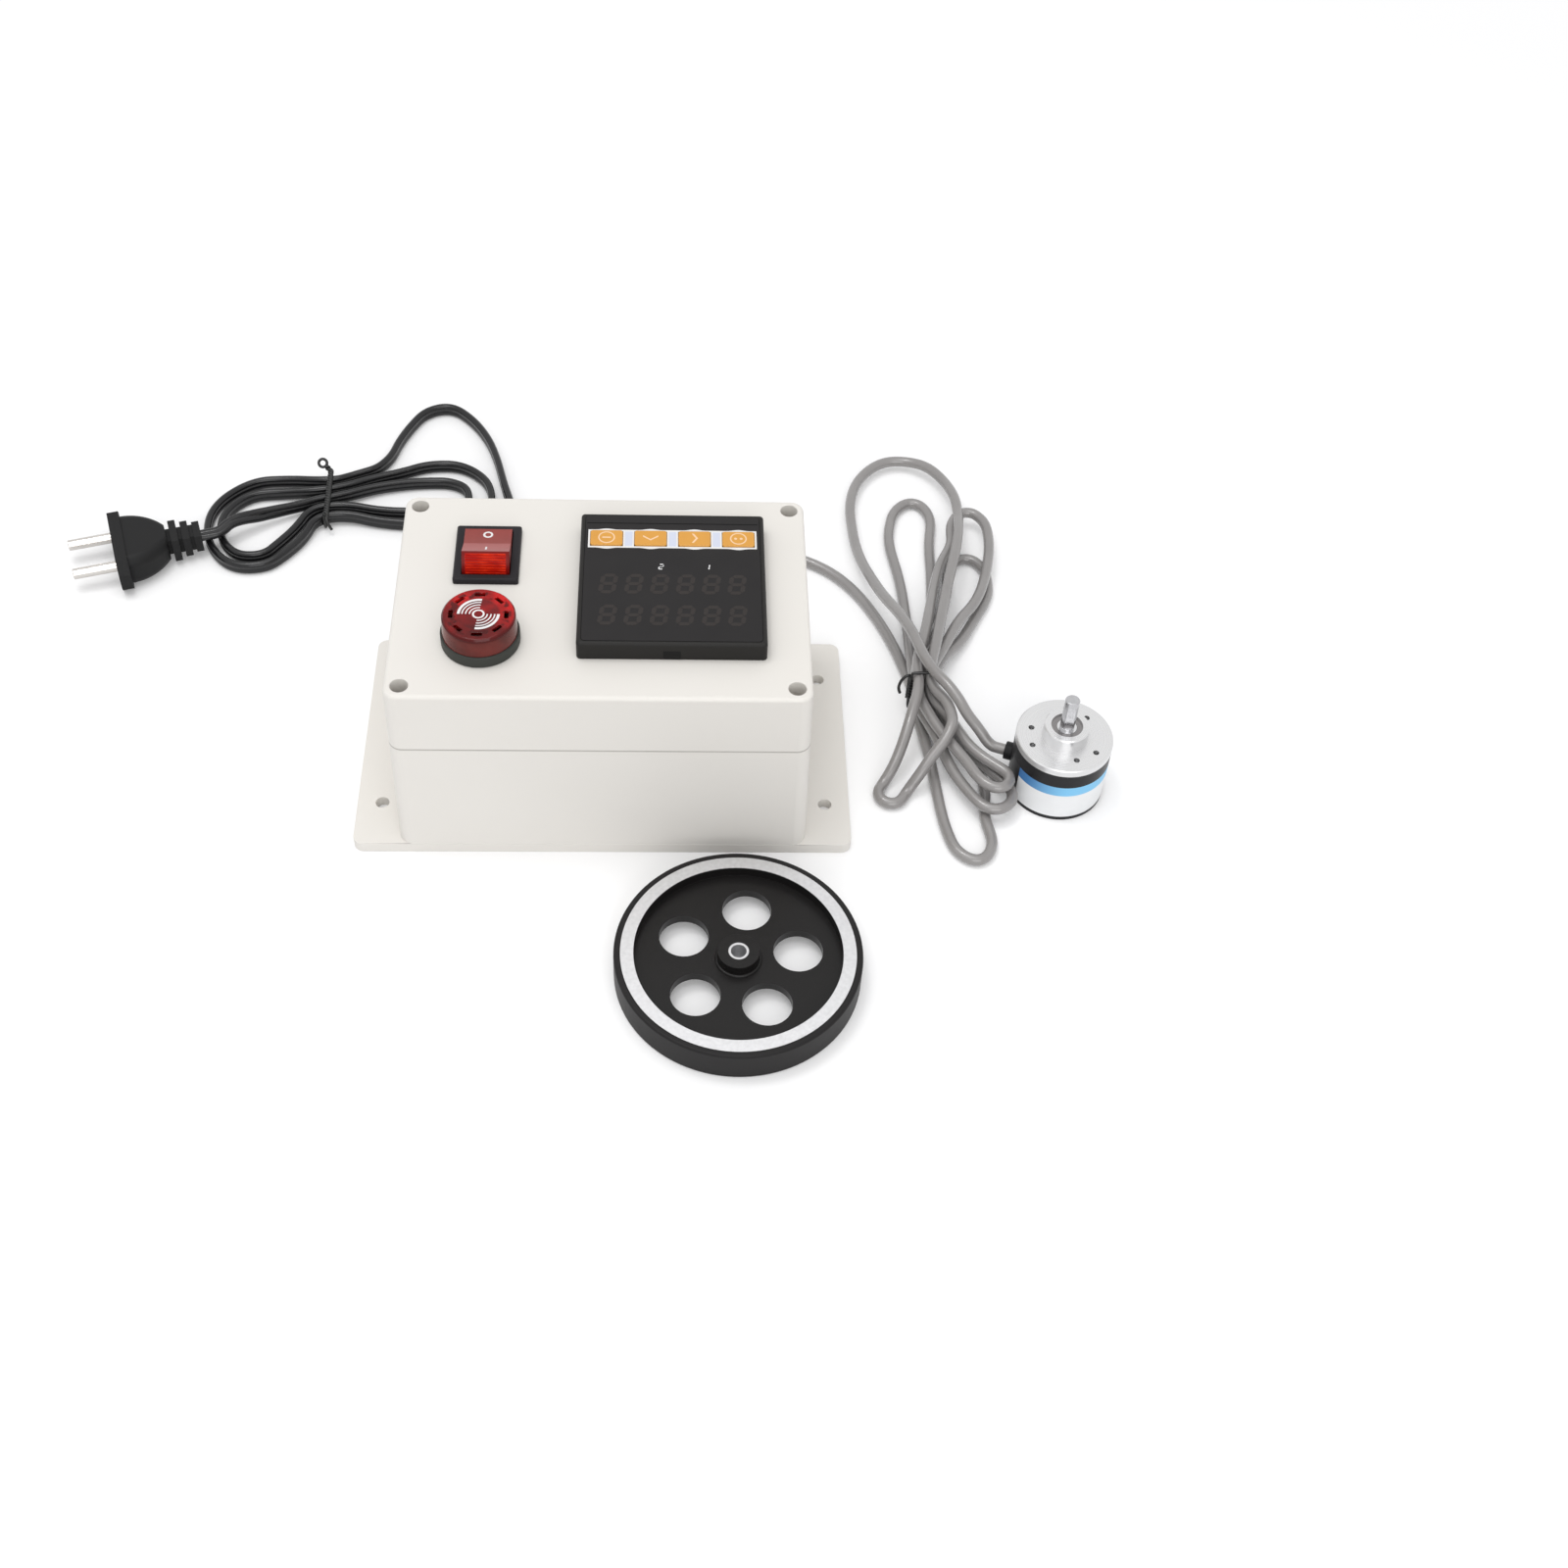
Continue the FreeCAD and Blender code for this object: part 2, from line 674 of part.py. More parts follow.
switch_cutout = slab("switch_cutout", "switch_body_width + switch_cutout_play",
                     "switch_body_length + switch_cutout_play", through_lid, "switch_x", "switch_y",
                     lid_inside)
alarm_cutout = rod("alarm_cutout", "alarm_barrel_radius + alarm_hole_play", through_lid,
                   "alarm_x", "alarm_y", lid_inside)
piece(cut("lid_cover", lid, meter_cutout, switch_cutout, alarm_cutout), "box_lid")

# Lid screws and their inserts: a screw head sits on the seat deep in each corner bore
screw_seat = "(parting_height + lid_seat_height)"
screws = []
inserts = []
for number_of, (sx, sy) in enumerate(corners, start=1):
    x, y = f"{sx}lid_screw_x", f"{sy}lid_screw_y"
    shank = rod(f"lid_shank_{number_of}", "lid_screw_radius", "lid_screw_length", x, y,
                f"{screw_seat} - lid_screw_length")
    head = rod(f"lid_head_{number_of}", "lid_head_radius", "lid_head_height", x, y, screw_seat)
    slot = slab(f"lid_slot_{number_of}", "2 * lid_head_radius + overrun", "lid_slot_width",
                "lid_slot_depth + overrun", x, y, f"{screw_seat} + lid_head_height - lid_slot_depth")
    screws.append(cut(f"lid_screw_{number_of}", fuse(f"lid_screw_blank_{number_of}", shank, head), slot))
    sleeve = rod(f"insert_sleeve_{number_of}", "insert_radius", "insert_length", x, y,
                 "parting_height - insert_length")
    bore = rod(f"insert_bore_{number_of}", "lid_screw_radius + thread_play", "insert_length", x, y,
               "parting_height - insert_length")
    inserts.append(cut(f"insert_{number_of}", sleeve, bore))
piece(fuse("lid_screw_set", *screws), "lid_screws")
piece(fuse("insert_set", *inserts), "lid_inserts")

# Meter: frame with its film, the case behind it, displays, boards, terminals and side clips
meter_top = "(box_height + meter_front_height)"
plate_top = f"({meter_top} - meter_film_thickness)"
plate_under = f"({plate_top} - meter_plate_thickness)"
front_board_top = f"({plate_top} - display_thickness)"
case_foot = "(box_height - meter_case_depth)"
key_places = [f"meter_x + key_pitch * {place}" for place in ("(-1.5)", "(-0.5)", "0.5", "1.5")]
key_y = "(meter_y + key_row_y)"


def key_holes(name, foot, height):
    """Tools that open the four key apertures."""
    return [slab(f"{name}_{index}", "key_width + 2 * key_play", "key_height + 2 * key_play", height,
                 x, key_y, foot) for index, x in enumerate(key_places, start=1)]


frame = new_body("meter_frame_body")
frame_block = pad(frame, rounded_outline(new_sketch(frame, lift="box_height"), "meter_front", "meter_front",
                                         "meter_front_corner", "meter_x", "meter_y"), "meter_front_height")
soften(frame, frame_block, "meter_front_bevel",
       lambda middle, edge: middle.z > sizes["box_height"] + sizes["meter_front_height"] / 2
       and abs(edge.Vertexes[0].Z - edge.Vertexes[-1].Z) < sizes["overrun"] / 2, chamfer=True)
pocket(frame, rounded_outline(new_sketch(frame, lift=meter_top), "meter_film_size", "meter_film_size",
                              "meter_front_corner", "meter_x", "meter_y"), "meter_film_thickness")
pocket(frame, rounded_outline(new_sketch(frame, lift="box_height"), "meter_front - 2 * meter_front_wall",
                              "meter_front - 2 * meter_front_wall", "meter_front_corner",
                              "meter_x", "meter_y"), f"{plate_under} - box_height", upwards=True)
display_ys = {"upper": "display_upper_y", "lower": "display_lower_y"}
display_holes = [slab(f"{row}_display_hole", "display_width + 2 * display_play",
                      "display_height + 2 * display_play", "meter_plate_thickness + 2 * overrun",
                      "meter_x", f"meter_y + {y}", f"{plate_under} - overrun")
                 for row, y in display_ys.items()]
latch_slot = slab("latch_slot", "latch_slot_width", "2 * meter_front_wall", "latch_slot_height", "meter_x",
                  "meter_y - meter_front / 2", "box_height")
frame_keys = key_holes("frame_key_hole", f"{plate_under} - overrun",
                       "meter_plate_thickness + meter_film_thickness + 2 * overrun")
piece(cut("meter_frame_cut", frame, latch_slot, *display_holes, *frame_keys), "meter_frame")

film = new_body("film_body")
pad(film, rounded_outline(new_sketch(film, lift=plate_top), "meter_film_size - 2 * meter_film_fit",
                          "meter_film_size - 2 * meter_film_fit", "meter_front_corner", "meter_x",
                          "meter_y"), "meter_film_thickness")
piece(cut("film_cut", film, *key_holes("film_key_hole", f"{plate_top} - overrun",
                                       "meter_film_thickness + 2 * overrun")), "meter_film")

case = new_body("meter_case_body")
pad(case, rounded_outline(new_sketch(case, lift=case_foot), "meter_case", "meter_case", "meter_case_corner",
                          "meter_x", "meter_y"), "meter_case_depth + meter_case_spigot")
case_inside = "(meter_case - 2 * meter_case_wall)"
case_hollow = slab("case_hollow", case_inside, case_inside, "meter_case_depth + meter_case_spigot",
                   "meter_x", "meter_y", f"{case_foot} + meter_case_wall")
piece(cut("meter_case_cut", case, case_hollow), "meter_case")

for row, y in display_ys.items():
    piece(slab(f"{row}_display_block", "display_width", "display_height", "display_thickness", "meter_x",
               f"meter_y + {y}", front_board_top), f"{row}_display")
board_span = f"({case_inside} - 2 * board_play)"
piece(slab("front_board_blank", board_span, board_span, "board_thickness", "meter_x", "meter_y",
           f"{front_board_top} - board_thickness"), "meter_front_board")
main_board_foot = f"({case_foot} + meter_case_wall)"
main_board_top = f"({main_board_foot} + board_thickness)"
main_board = slab("main_board_blank", board_span, board_span, "board_thickness", "meter_x", "meter_y",
                  main_board_foot)
link_board = slab("link_board_blank", "link_width", "board_thickness",
                  f"{front_board_top} - board_thickness - {main_board_top}", "meter_x", "meter_y",
                  main_board_top)
piece(fuse("main_board_pair", main_board, link_board), "meter_main_board")
piece(slab("transformer_block", "transformer_length", "transformer_width", "transformer_height",
           f"meter_x - {case_inside} / 2 + transformer_length / 2 + overrun",
           f"meter_y + {case_inside} / 2 - transformer_width / 2 - overrun", main_board_top),
      "meter_transformer")
relays = [slab(f"relay_{index}", "relay_width", "relay_length", "relay_height",
               f"meter_x + {case_inside} / 2 - relay_width / 2 - overrun - relay_pitch * {index}",
               f"meter_y - {case_inside} / 2 + relay_length / 2 + overrun", main_board_top)
          for index in range(2)]
piece(fuse("relay_pair", *relays), "meter_relays")
blocks = [slab(f"terminal_row_{index}", "terminal_length", "terminal_width", "terminal_depth", "meter_x",
               f"meter_y + {sign}terminal_offset", f"{case_foot} - terminal_depth")
          for index, sign in enumerate(("", "-"), start=1)]
piece(fuse("terminal_rows", *blocks), "meter_terminals")
terminal_screw = Part.makeCylinder(size("terminal_screw_radius"), size("terminal_screw_height"))
terminal_screws = doc.addObject("Part::Feature", "terminal_screw_set")
terminal_screw_heads = []
for row in (1, -1):
    for index in range(int(size("terminal_count"))):
        head = terminal_screw.copy()
        step = size("terminal_length") / size("terminal_count")
        head.translate(Vector(number("meter_x") + step * (index + 0.5) - size("terminal_length") / 2,
                              number("meter_y") + row * size("terminal_offset"),
                              number(f"{case_foot} - terminal_depth - terminal_screw_height")))
        terminal_screw_heads.append(head)
terminal_screws.Shape = Part.makeCompound(terminal_screw_heads)
piece(terminal_screws, "terminal_screws")
clips = [slab(f"clip_{index}", "clip_thickness", "clip_width", "clip_length",
              f"meter_x + {sign}(meter_case / 2 + clip_gap + clip_thickness / 2)", "meter_y",
              "box_height - box_wall - clip_length") for index, sign in enumerate(("", "-"), start=1)]
piece(fuse("clip_pair", *clips), "meter_clips")

# Meter keys: a cap through the film over a lip that the frame's plate holds down
key_foot = f"({front_board_top} + tact_height + key_travel + key_overtravel)"
for index, x in enumerate(key_places, start=1):
    key = new_body(f"key_body_{index}")
    pad(key, rounded_outline(new_sketch(key, lift=key_foot), "key_width + 2 * key_lip",
                             "key_height + 2 * key_lip", "key_corner", x, key_y),
        f"{plate_under} - key_lip_gap - {key_foot}")
    pad(key, rounded_outline(new_sketch(key, lift=key_foot), "key_width", "key_height", "key_corner",
                             x, key_y), f"{meter_top} + key_proud - {key_foot}")
    piece(key, f"meter_key_{index}")
tacts = [slab(f"tact_{index}", "tact_size", "tact_size", "tact_height", x, key_y, front_board_top)
         for index, x in enumerate(key_places, start=1)]
piece(fuse("tact_set", *tacts), "key_switches")

# Rocker switch: housing, rocker on two trunnions, plunger, tipping contact and blades
switch_foot = "(box_height - switch_body_depth)"
switch_inside_width = "(switch_body_width - 2 * switch_wall)"
switch_inside_length = "(switch_body_length - 2 * switch_wall)"
housing = new_body("switch_housing_body")
bezel = pad(housing, rounded_outline(new_sketch(housing, lift="box_height"), "switch_bezel_width",
                                     "switch_bezel_length", "switch_bezel_corner", "switch_x", "switch_y"),
            "switch_bezel_height")
soften(housing, bezel, "switch_bezel_bevel",
       lambda middle, edge: middle.z > sizes["box_height"] + sizes["switch_bezel_height"] * 0.75, chamfer=True)
pad(housing, rounded_outline(new_sketch(housing, lift=switch_foot), "switch_body_width",
                             "switch_body_length", "switch_bezel_corner", "switch_x", "switch_y"),
    "switch_body_depth")
well = slab("switch_well", switch_inside_width, switch_inside_length,
            "switch_body_depth + switch_bezel_height", "switch_x", "switch_y",
            f"{switch_foot} + switch_floor")
pivot_hole = rod("switch_pivot_hole", "pivot_radius + pivot_play", f"{switch_inside_width} + 2 * pivot_bite",
                 f"switch_x - {switch_inside_width} / 2 - pivot_bite", "switch_y", "pivot_height", along="x")
piece(cut("switch_housing_cut", housing, well, pivot_hole), "switch_housing")


def tilt(item, angle, backwards=True):
    """Turn an object about X, so that its near side goes up, or down."""
    axis = Vector(-1, 0, 0) if backwards else Vector(1, 0, 0)
    item.Placement = FreeCAD.Placement(Vector(), FreeCAD.Rotation(axis, sizes[angle]))
    item.setExpression("Placement.Rotation.Angle", f"Sizes.{angle} * 1 deg")
    return item


rocker_width = f"({switch_inside_width} - 2 * rocker_play)"
rocker = new_body("rocker_body")
pad(rocker, outline(new_sketch(rocker, "YZ_Plane"),
                    [("-rocker_reach", "-rocker_under"), ("rocker_reach", "-rocker_under", "rocker_end_radius"),
                     ("rocker_top_reach", "rocker_end_height"), ("0", "rocker_middle_height"),
                     ("-rocker_top_reach", "rocker_end_height", "rocker_end_radius")]),
    rocker_width, middle=True)
pocket(rocker, rounded_outline(new_sketch(rocker, lift="-rocker_under"), f"{rocker_width} - 2 * rocker_wall",
                               "2 * rocker_hollow_reach", "key_corner"),
       "rocker_under + rocker_middle_height - rocker_wall", upwards=True)
trunnions = rod("rocker_trunnions", "pivot_radius",
                f"{rocker_width} + 2 * (rocker_play + pivot_bite - rocker_end_play)",
                f"0 - {rocker_width} / 2 - rocker_play - pivot_bite + rocker_end_play", along="x")
plunger_hole = rod("plunger_hole", "plunger_radius", "rocker_under + rocker_middle_height", "0", "0",
                   "-rocker_under")
rocker_solid = fuse("rocker_solid", rocker, cut("rocker_trunnion_cut", trunnions, plunger_hole))
piece(at(tilt(rocker_solid, "rocker_tilt"), "switch_x", "switch_y", "pivot_height"), "switch_rocker")
plunger = new_body("plunger_body")
pad(plunger, round_hole(new_sketch(plunger, lift="rocker_middle_height - rocker_wall - plunger_length"),
                        "plunger_radius"), "plunger_length")
piece(at(tilt(plunger, "rocker_tilt"), "switch_x", "switch_y", "pivot_height"), "switch_plunger")
contact_height = "(pivot_height + rocker_middle_height - rocker_wall - plunger_length - contact_gap)"
contact = new_body("contact_body")
pad(contact, rounded_outline(new_sketch(contact, lift="-contact_thickness"), "contact_width",
                             "contact_length", "contact_thickness"), "contact_thickness")
piece(at(tilt(contact, "contact_tilt", backwards=False), "switch_x", "switch_y", contact_height),
      "switch_contact")
post = slab("contact_post", "contact_width", "contact_thickness",
            f"{contact_height} - contact_thickness - contact_seat_gap - {switch_foot} - switch_floor",
            "switch_x", "switch_y", f"{switch_foot} + switch_floor")
blades = [slab(f"blade_{index}", "blade_thickness", "blade_width", "blade_length",
               f"switch_x + {sx}blade_spacing_x / 2", f"switch_y + {sy}blade_spacing_y / 2",
               f"{switch_foot} - blade_length") for index, (sx, sy) in enumerate(corners, start=1)]
piece(fuse("switch_terminal_set", post, *blades), "switch_terminals")

# Flashing sounder: collar and threaded barrel, clear lens, lamps, sounder, nut and seal
alarm_foot = "(box_height + alarm_seal_thickness - alarm_seal_sink)"
collar_top = f"({alarm_foot} + alarm_collar_height)"
cup_radius = "(alarm_collar_radius - alarm_lens_wall - alarm_fit)"
cup_floor = f"({alarm_foot} + alarm_barrel_wall)"
alarm_seal_ring = cut("alarm_seal_ring",
                      rod("alarm_seal_outer", "alarm_seal_radius", "alarm_seal_thickness", "alarm_x",
                          "alarm_y", "box_height"),
                      rod("alarm_seal_inner", "alarm_barrel_radius", "alarm_seal_thickness", "alarm_x",
                          "alarm_y", "box_height"))
piece(alarm_seal_ring, "alarm_seal")
collar = new_body("alarm_collar_body")
revolve(collar, outline(new_sketch(collar, "XZ_Plane"),
                        [("alarm_barrel_radius - alarm_barrel_wall", f"{alarm_foot} - alarm_barrel_length"),
                         ("alarm_barrel_radius", f"{alarm_foot} - alarm_barrel_length"),
                         ("alarm_barrel_radius", alarm_foot), ("alarm_collar_radius", alarm_foot),
                         ("alarm_collar_radius", collar_top), (cup_radius, collar_top),
                         (cup_radius, cup_floor), ("alarm_barrel_radius - alarm_barrel_wall", cup_floor)]))
at(collar, "alarm_x", "alarm_y")
piece(cut("alarm_collar_cut", collar, alarm_seal_ring), "alarm_collar")
lens_top = f"({collar_top} + alarm_lens_height)"
spigot_radius = f"({cup_radius} - alarm_fit)"
lens_bore = f"({spigot_radius} - alarm_lens_wall)"
lens = new_body("alarm_lens_body")
revolve(lens, outline(new_sketch(lens, "XZ_Plane"),
                      [(lens_bore, f"{collar_top} - alarm_lens_spigot"),
                       (spigot_radius, f"{collar_top} - alarm_lens_spigot"), (spigot_radius, collar_top),
                       ("alarm_lens_radius", collar_top),
                       ("alarm_lens_top_radius", f"{lens_top} - alarm_lens_edge"),
                       ("alarm_lens_top_radius - alarm_lens_edge", lens_top), ("0", lens_top),
                       ("0", f"{lens_top} - alarm_lens_wall"), (lens_bore, f"{lens_top} - alarm_lens_wall")]))
at(lens, "alarm_x", "alarm_y")
slot_model = Part.makeBox(size("sound_slot_width"), size("sound_slot_length"), 2 * size("alarm_lens_wall"))
slot_model.translate(Vector(-size("sound_slot_width") / 2, -size("sound_slot_length") / 2,
                            number(f"{lens_top} - 1.5 * alarm_lens_wall")))
sound_slots = around("sound_slots", slot_model, size("sound_slot_count"), size("sound_slot_radius"), 0,
                     number("alarm_x"), number("alarm_y"))
piece(cut("alarm_lens_cut", lens, sound_slots), "alarm_lens")
alarm_disc = rod("alarm_board_blank", f"{spigot_radius} - alarm_board_play", "board_thickness", "alarm_x",
                 "alarm_y", cup_floor)
piece(rod("sounder_can", "sounder_radius", "sounder_height", "alarm_x", "alarm_y",
          f"{cup_floor} + board_thickness"), "alarm_sounder")
lamp_model = Part.makeCylinder(size("lamp_radius"), size("lamp_height"),
                               Vector(0, 0, number(f"{cup_floor} + board_thickness")))
lamps = around("lamp_ring", lamp_model, size("lamp_count"), size("lamp_ring_radius"), 0, number("alarm_x"),
               number("alarm_y"))
piece(together("alarm_board_set", alarm_disc, lamps), "alarm_board")
nut_foot = "(box_height - box_wall - alarm_nut_height)"
piece(cut("alarm_nut_ring", rod("alarm_nut_blank", "alarm_nut_radius", "alarm_nut_height", "alarm_x",
                                "alarm_y", nut_foot),
          rod("alarm_nut_bore", "alarm_barrel_radius + thread_play", "alarm_nut_height", "alarm_x", "alarm_y",
              nut_foot)), "alarm_nut")
alarm_end = f"({alarm_foot} - alarm_barrel_length)"
alarm_cap = rod("alarm_cap", "alarm_barrel_radius - alarm_barrel_wall - alarm_fit", "alarm_cap_thickness",
                "alarm_x", "alarm_y", alarm_end)
alarm_blades = [slab(f"alarm_blade_{index}", "blade_thickness", "alarm_terminal_width",
                     "alarm_terminal_length", f"alarm_x + {sign}alarm_terminal_spacing / 2", "alarm_y",
                     f"{alarm_end} - alarm_terminal_length") for index, sign in enumerate(("", "-"), start=1)]
piece(fuse("alarm_terminal_set", alarm_cap, *alarm_blades), "alarm_terminals")

# Cord glands: flange on the rear face, neck through the wall and a tapered tail
gland_tip = f"({rear_face} + gland_flange_thickness + gland_tail_length)"
for side in ("mains", "signal"):
    x = f"{side}_gland_x"
    parts = [rod(f"{side}_gland_flange", "gland_flange_radius", "gland_flange_thickness", x, rear_face,
                 "gland_height", along="y"),
             rod(f"{side}_gland_neck", "gland_neck_radius", f"{rear_face} - {inner_rear} + gland_inner_length",
                 x, f"{inner_rear} - gland_inner_length", "gland_height", along="y"),
             rod(f"{side}_gland_lip", "gland_flange_radius", "gland_inner_length", x,
                 f"{inner_rear} - gland_inner_length", "gland_height", along="y"),
             cone(f"{side}_gland_tail", "gland_tail_radius", "gland_tail_tip_radius", "gland_tail_length", x,
                  f"{rear_face} + gland_flange_thickness", "gland_height", along="y")]
    piece(fuse(f"{side}_gland_set", *parts), f"{side}_gland")

# Encoder: cover, label sleeve, aluminium face with its boss, bearings, shaft, disk and board
cover_radius = "(encoder_radius - label_thickness)"
cover_bore = f"({cover_radius} - encoder_cover_wall)"
cover_top = "(encoder_face_height - encoder_rim_height)"
plug_foot = f"({cover_top} - encoder_plug_depth)"
boss_top = "(encoder_face_height + encoder_boss_height)"
cover = new_body("encoder_cover_body")
revolve(cover, outline(new_sketch(cover, "XZ_Plane"),
                       [("0", "0"), ("encoder_radius", "0"), ("encoder_radius", "encoder_cover_floor"),
                        (cover_radius, "encoder_cover_floor"), (cover_radius, "label_top"),
                        ("encoder_radius", "label_top"), ("encoder_radius", cover_top),
                        (cover_bore, cover_top), (cover_bore, "encoder_cover_floor"),
                        ("0", "encoder_cover_floor")]))
at(cover, "encoder_x", "encoder_y")
screw_model = Part.makeCylinder(size("cover_screw_radius"), size("cover_screw_length"),
                                Vector(0, 0, size("cover_screw_height")), Vector(1, 0, 0))
cover_screws = around("cover_screw_set", screw_model, size("cover_screw_count"),
                      size("encoder_radius") - size("label_thickness") - size("cover_screw_length"),
                      -90, size("encoder_x"), size("encoder_y"))
gland_bush = doc.addObject("Part::Feature", "encoder_gland_bush")
gland_bush_model = Part.makeCylinder(size("encoder_gland_radius"),
                                     size("encoder_cover_wall") + size("label_thickness")
                                     + size("encoder_gland_reach"),
                                     Vector(number(cover_bore), 0, size("encoder_gland_height")),
                                     Vector(1, 0, 0))
gland_bush_model.rotate(Vector(), Vector(0, 0, 1), size("encoder_gland_angle"))
gland_bush_model.translate(Vector(size("encoder_x"), size("encoder_y"), 0))
gland_bush.Shape = gland_bush_model
piece(cut("encoder_cover_cut", cover, cover_screws, gland_bush), "encoder_cover")
piece(cover_screws, "cover_screws")
piece(gland_bush, "encoder_gland")
label_height = "label_top - encoder_cover_floor"
label_sleeve = cut("label_sleeve",
                   rod("label_outer", "encoder_radius", label_height, "encoder_x", "encoder_y",
                       "encoder_cover_floor"),
                   rod("label_inner", cover_radius, label_height, "encoder_x", "encoder_y",
                       "encoder_cover_floor"))
piece(cut("label_sleeve_cut", label_sleeve, gland_bush), "encoder_label")

face = new_body("encoder_face_body")
revolve(face, outline(new_sketch(face, "XZ_Plane"),
                      [("shaft_bore_radius", f"{plug_foot} + bearing_width"),
                       ("bearing_outer_radius", f"{plug_foot} + bearing_width"),
                       ("bearing_outer_radius", plug_foot),
                       (f"{cover_bore} - encoder_plug_play", plug_foot),
                       (f"{cover_bore} - encoder_plug_play", cover_top), ("encoder_radius", cover_top),
                       ("encoder_radius", "encoder_face_height - encoder_face_bevel"),
                       ("encoder_radius - encoder_face_bevel", "encoder_face_height"),
                       ("encoder_boss_radius", "encoder_face_height"),
                       ("encoder_boss_radius", f"{boss_top} - encoder_face_bevel"),
                       ("encoder_boss_radius - encoder_face_bevel", boss_top),
                       ("bearing_outer_radius", boss_top),
                       ("bearing_outer_radius", f"{boss_top} - bearing_sink - bearing_width"),
                       ("shaft_bore_radius", f"{boss_top} - bearing_sink - bearing_width")]))
at(face, "encoder_x", "encoder_y")
hole_model = Part.makeCylinder(size("face_hole_radius"), size("face_hole_depth") + size("overrun"),
                               Vector(0, 0, size("encoder_face_height") - size("face_hole_depth")))
face_holes = [around(f"face_holes_{circle}", hole_model, size("face_hole_sets"),
                     size(f"face_hole_{circle}_circle"),
                     size("face_hole_start") + sign * size("face_hole_split"), size("encoder_x"),
                     size("encoder_y")) for circle, sign in (("inner", -1), ("outer", 1))]
piece(cut("encoder_face_cut", face, cover_screws, *face_holes), "encoder_face")

bearing_feet = {"front": f"({boss_top} - bearing_sink - bearing_width)", "rear": plug_foot}
outer_rings = []
inner_rings = []
shields = []
ball_sets = []
race_gap_outer = "(bearing_outer_radius - bearing_race)"
race_gap_inner = "(encoder_shaft_radius + bearing_race)"
for end, foot in bearing_feet.items():
    outer_rings.append(cut(f"{end}_outer_ring",
                           rod(f"{end}_outer_blank", "bearing_outer_radius", "bearing_width", "encoder_x",
                               "encoder_y", foot),
                           rod(f"{end}_outer_bore", race_gap_outer, "bearing_width", "encoder_x",
                               "encoder_y", foot)))
    inner_rings.append(cut(f"{end}_inner_ring",
                           rod(f"{end}_inner_blank", race_gap_inner, "bearing_width", "encoder_x",
                               "encoder_y", foot),
                           rod(f"{end}_inner_bore", "encoder_shaft_radius", "bearing_width", "encoder_x",
                               "encoder_y", foot)))
    for side, height in (("under", foot), ("upper", f"{foot} + bearing_width - shield_thickness")):
        shields.append(cut(f"{end}_{side}_shield",
                           rod(f"{end}_{side}_shield_blank", race_gap_outer, "shield_thickness", "encoder_x",
                               "encoder_y", height),
                           rod(f"{end}_{side}_shield_bore", f"{race_gap_inner} + shield_play",
                               "shield_thickness", "encoder_x", "encoder_y", height)))
    ball = Part.makeSphere((number(race_gap_outer) - number(race_gap_inner)) / 2 - size("ball_play"),
                           Vector(0, 0, number(foot) + size("bearing_width") / 2))
    ball_sets += around(f"{end}_balls", ball, size("bearing_ball_count"),
                        (number(race_gap_outer) + number(race_gap_inner)) / 2, 0, size("encoder_x"),
                        size("encoder_y")).Shape.Solids
piece(together("outer_ring_pair", *outer_rings, *shields), "bearing_outer_rings")
piece(fuse("inner_ring_pair", *inner_rings), "bearing_inner_rings")
balls = doc.addObject("Part::Feature", "ball_set")
balls.Shape = Part.makeCompound(ball_sets)
piece(balls, "bearing_balls")

shaft_top = "(encoder_face_height + encoder_shaft_reach)"
shaft = new_body("encoder_shaft_body")
revolve(shaft, outline(new_sketch(shaft, "XZ_Plane"),
                       [("0", "encoder_shaft_foot"), ("encoder_shaft_radius", "encoder_shaft_foot"),
                        ("encoder_shaft_radius", boss_top),
                        ("encoder_shaft_radius - shaft_groove_depth", boss_top),
                        ("encoder_shaft_radius - shaft_groove_depth", f"{boss_top} + shaft_groove_width"),
                        ("encoder_shaft_radius", f"{boss_top} + shaft_groove_width"),
                        ("encoder_shaft_radius", f"{shaft_top} - encoder_face_bevel"),
                        ("encoder_shaft_radius - encoder_face_bevel", shaft_top), ("0", shaft_top)]))
at(shaft, "encoder_x", "encoder_y")
shaft_flat = slab("shaft_flat", "2 * encoder_shaft_radius + overrun", "2 * encoder_shaft_flat",
                  "encoder_flat_length + overrun", "encoder_x", "encoder_y - encoder_shaft_radius",
                  f"{shaft_top} - encoder_flat_length")
piece(cut("encoder_shaft_cut", shaft, shaft_flat), "encoder_shaft")
hub_foot = "(disk_height - disk_hub_height)"
piece(cut("disk_hub_ring", rod("disk_hub_blank", "disk_hub_radius", "disk_hub_height", "encoder_x",
                               "encoder_y", hub_foot),
          rod("disk_hub_bore", "encoder_shaft_radius", "disk_hub_height", "encoder_x", "encoder_y", hub_foot)),
      "disk_hub")
window = Part.makeBox(size("disk_window_length"), size("disk_window_width"),
                      size("disk_thickness") + 2 * size("overrun"))
window.translate(Vector(-size("disk_window_length") / 2, -size("disk_window_width") / 2,
                        size("disk_height") - size("overrun")))
windows = around("disk_windows", window, size("disk_window_count"), size("disk_window_radius"), 0,
                 size("encoder_x"), size("encoder_y"))
disk_blank = rod("disk_blank", "disk_radius", "disk_thickness", "encoder_x", "encoder_y", "disk_height")
disk_bore = rod("disk_bore", "encoder_shaft_radius", "disk_thickness", "encoder_x", "encoder_y",
                "disk_height")
piece(cut("disk_cut", disk_blank, disk_bore, windows), "code_disk")
board_top = "(encoder_board_height + board_thickness)"
encoder_disc = rod("encoder_board_blank", "encoder_board_radius", "board_thickness", "encoder_x", "encoder_y",
                   "encoder_board_height")
reader_x = "(encoder_x + disk_radius)"
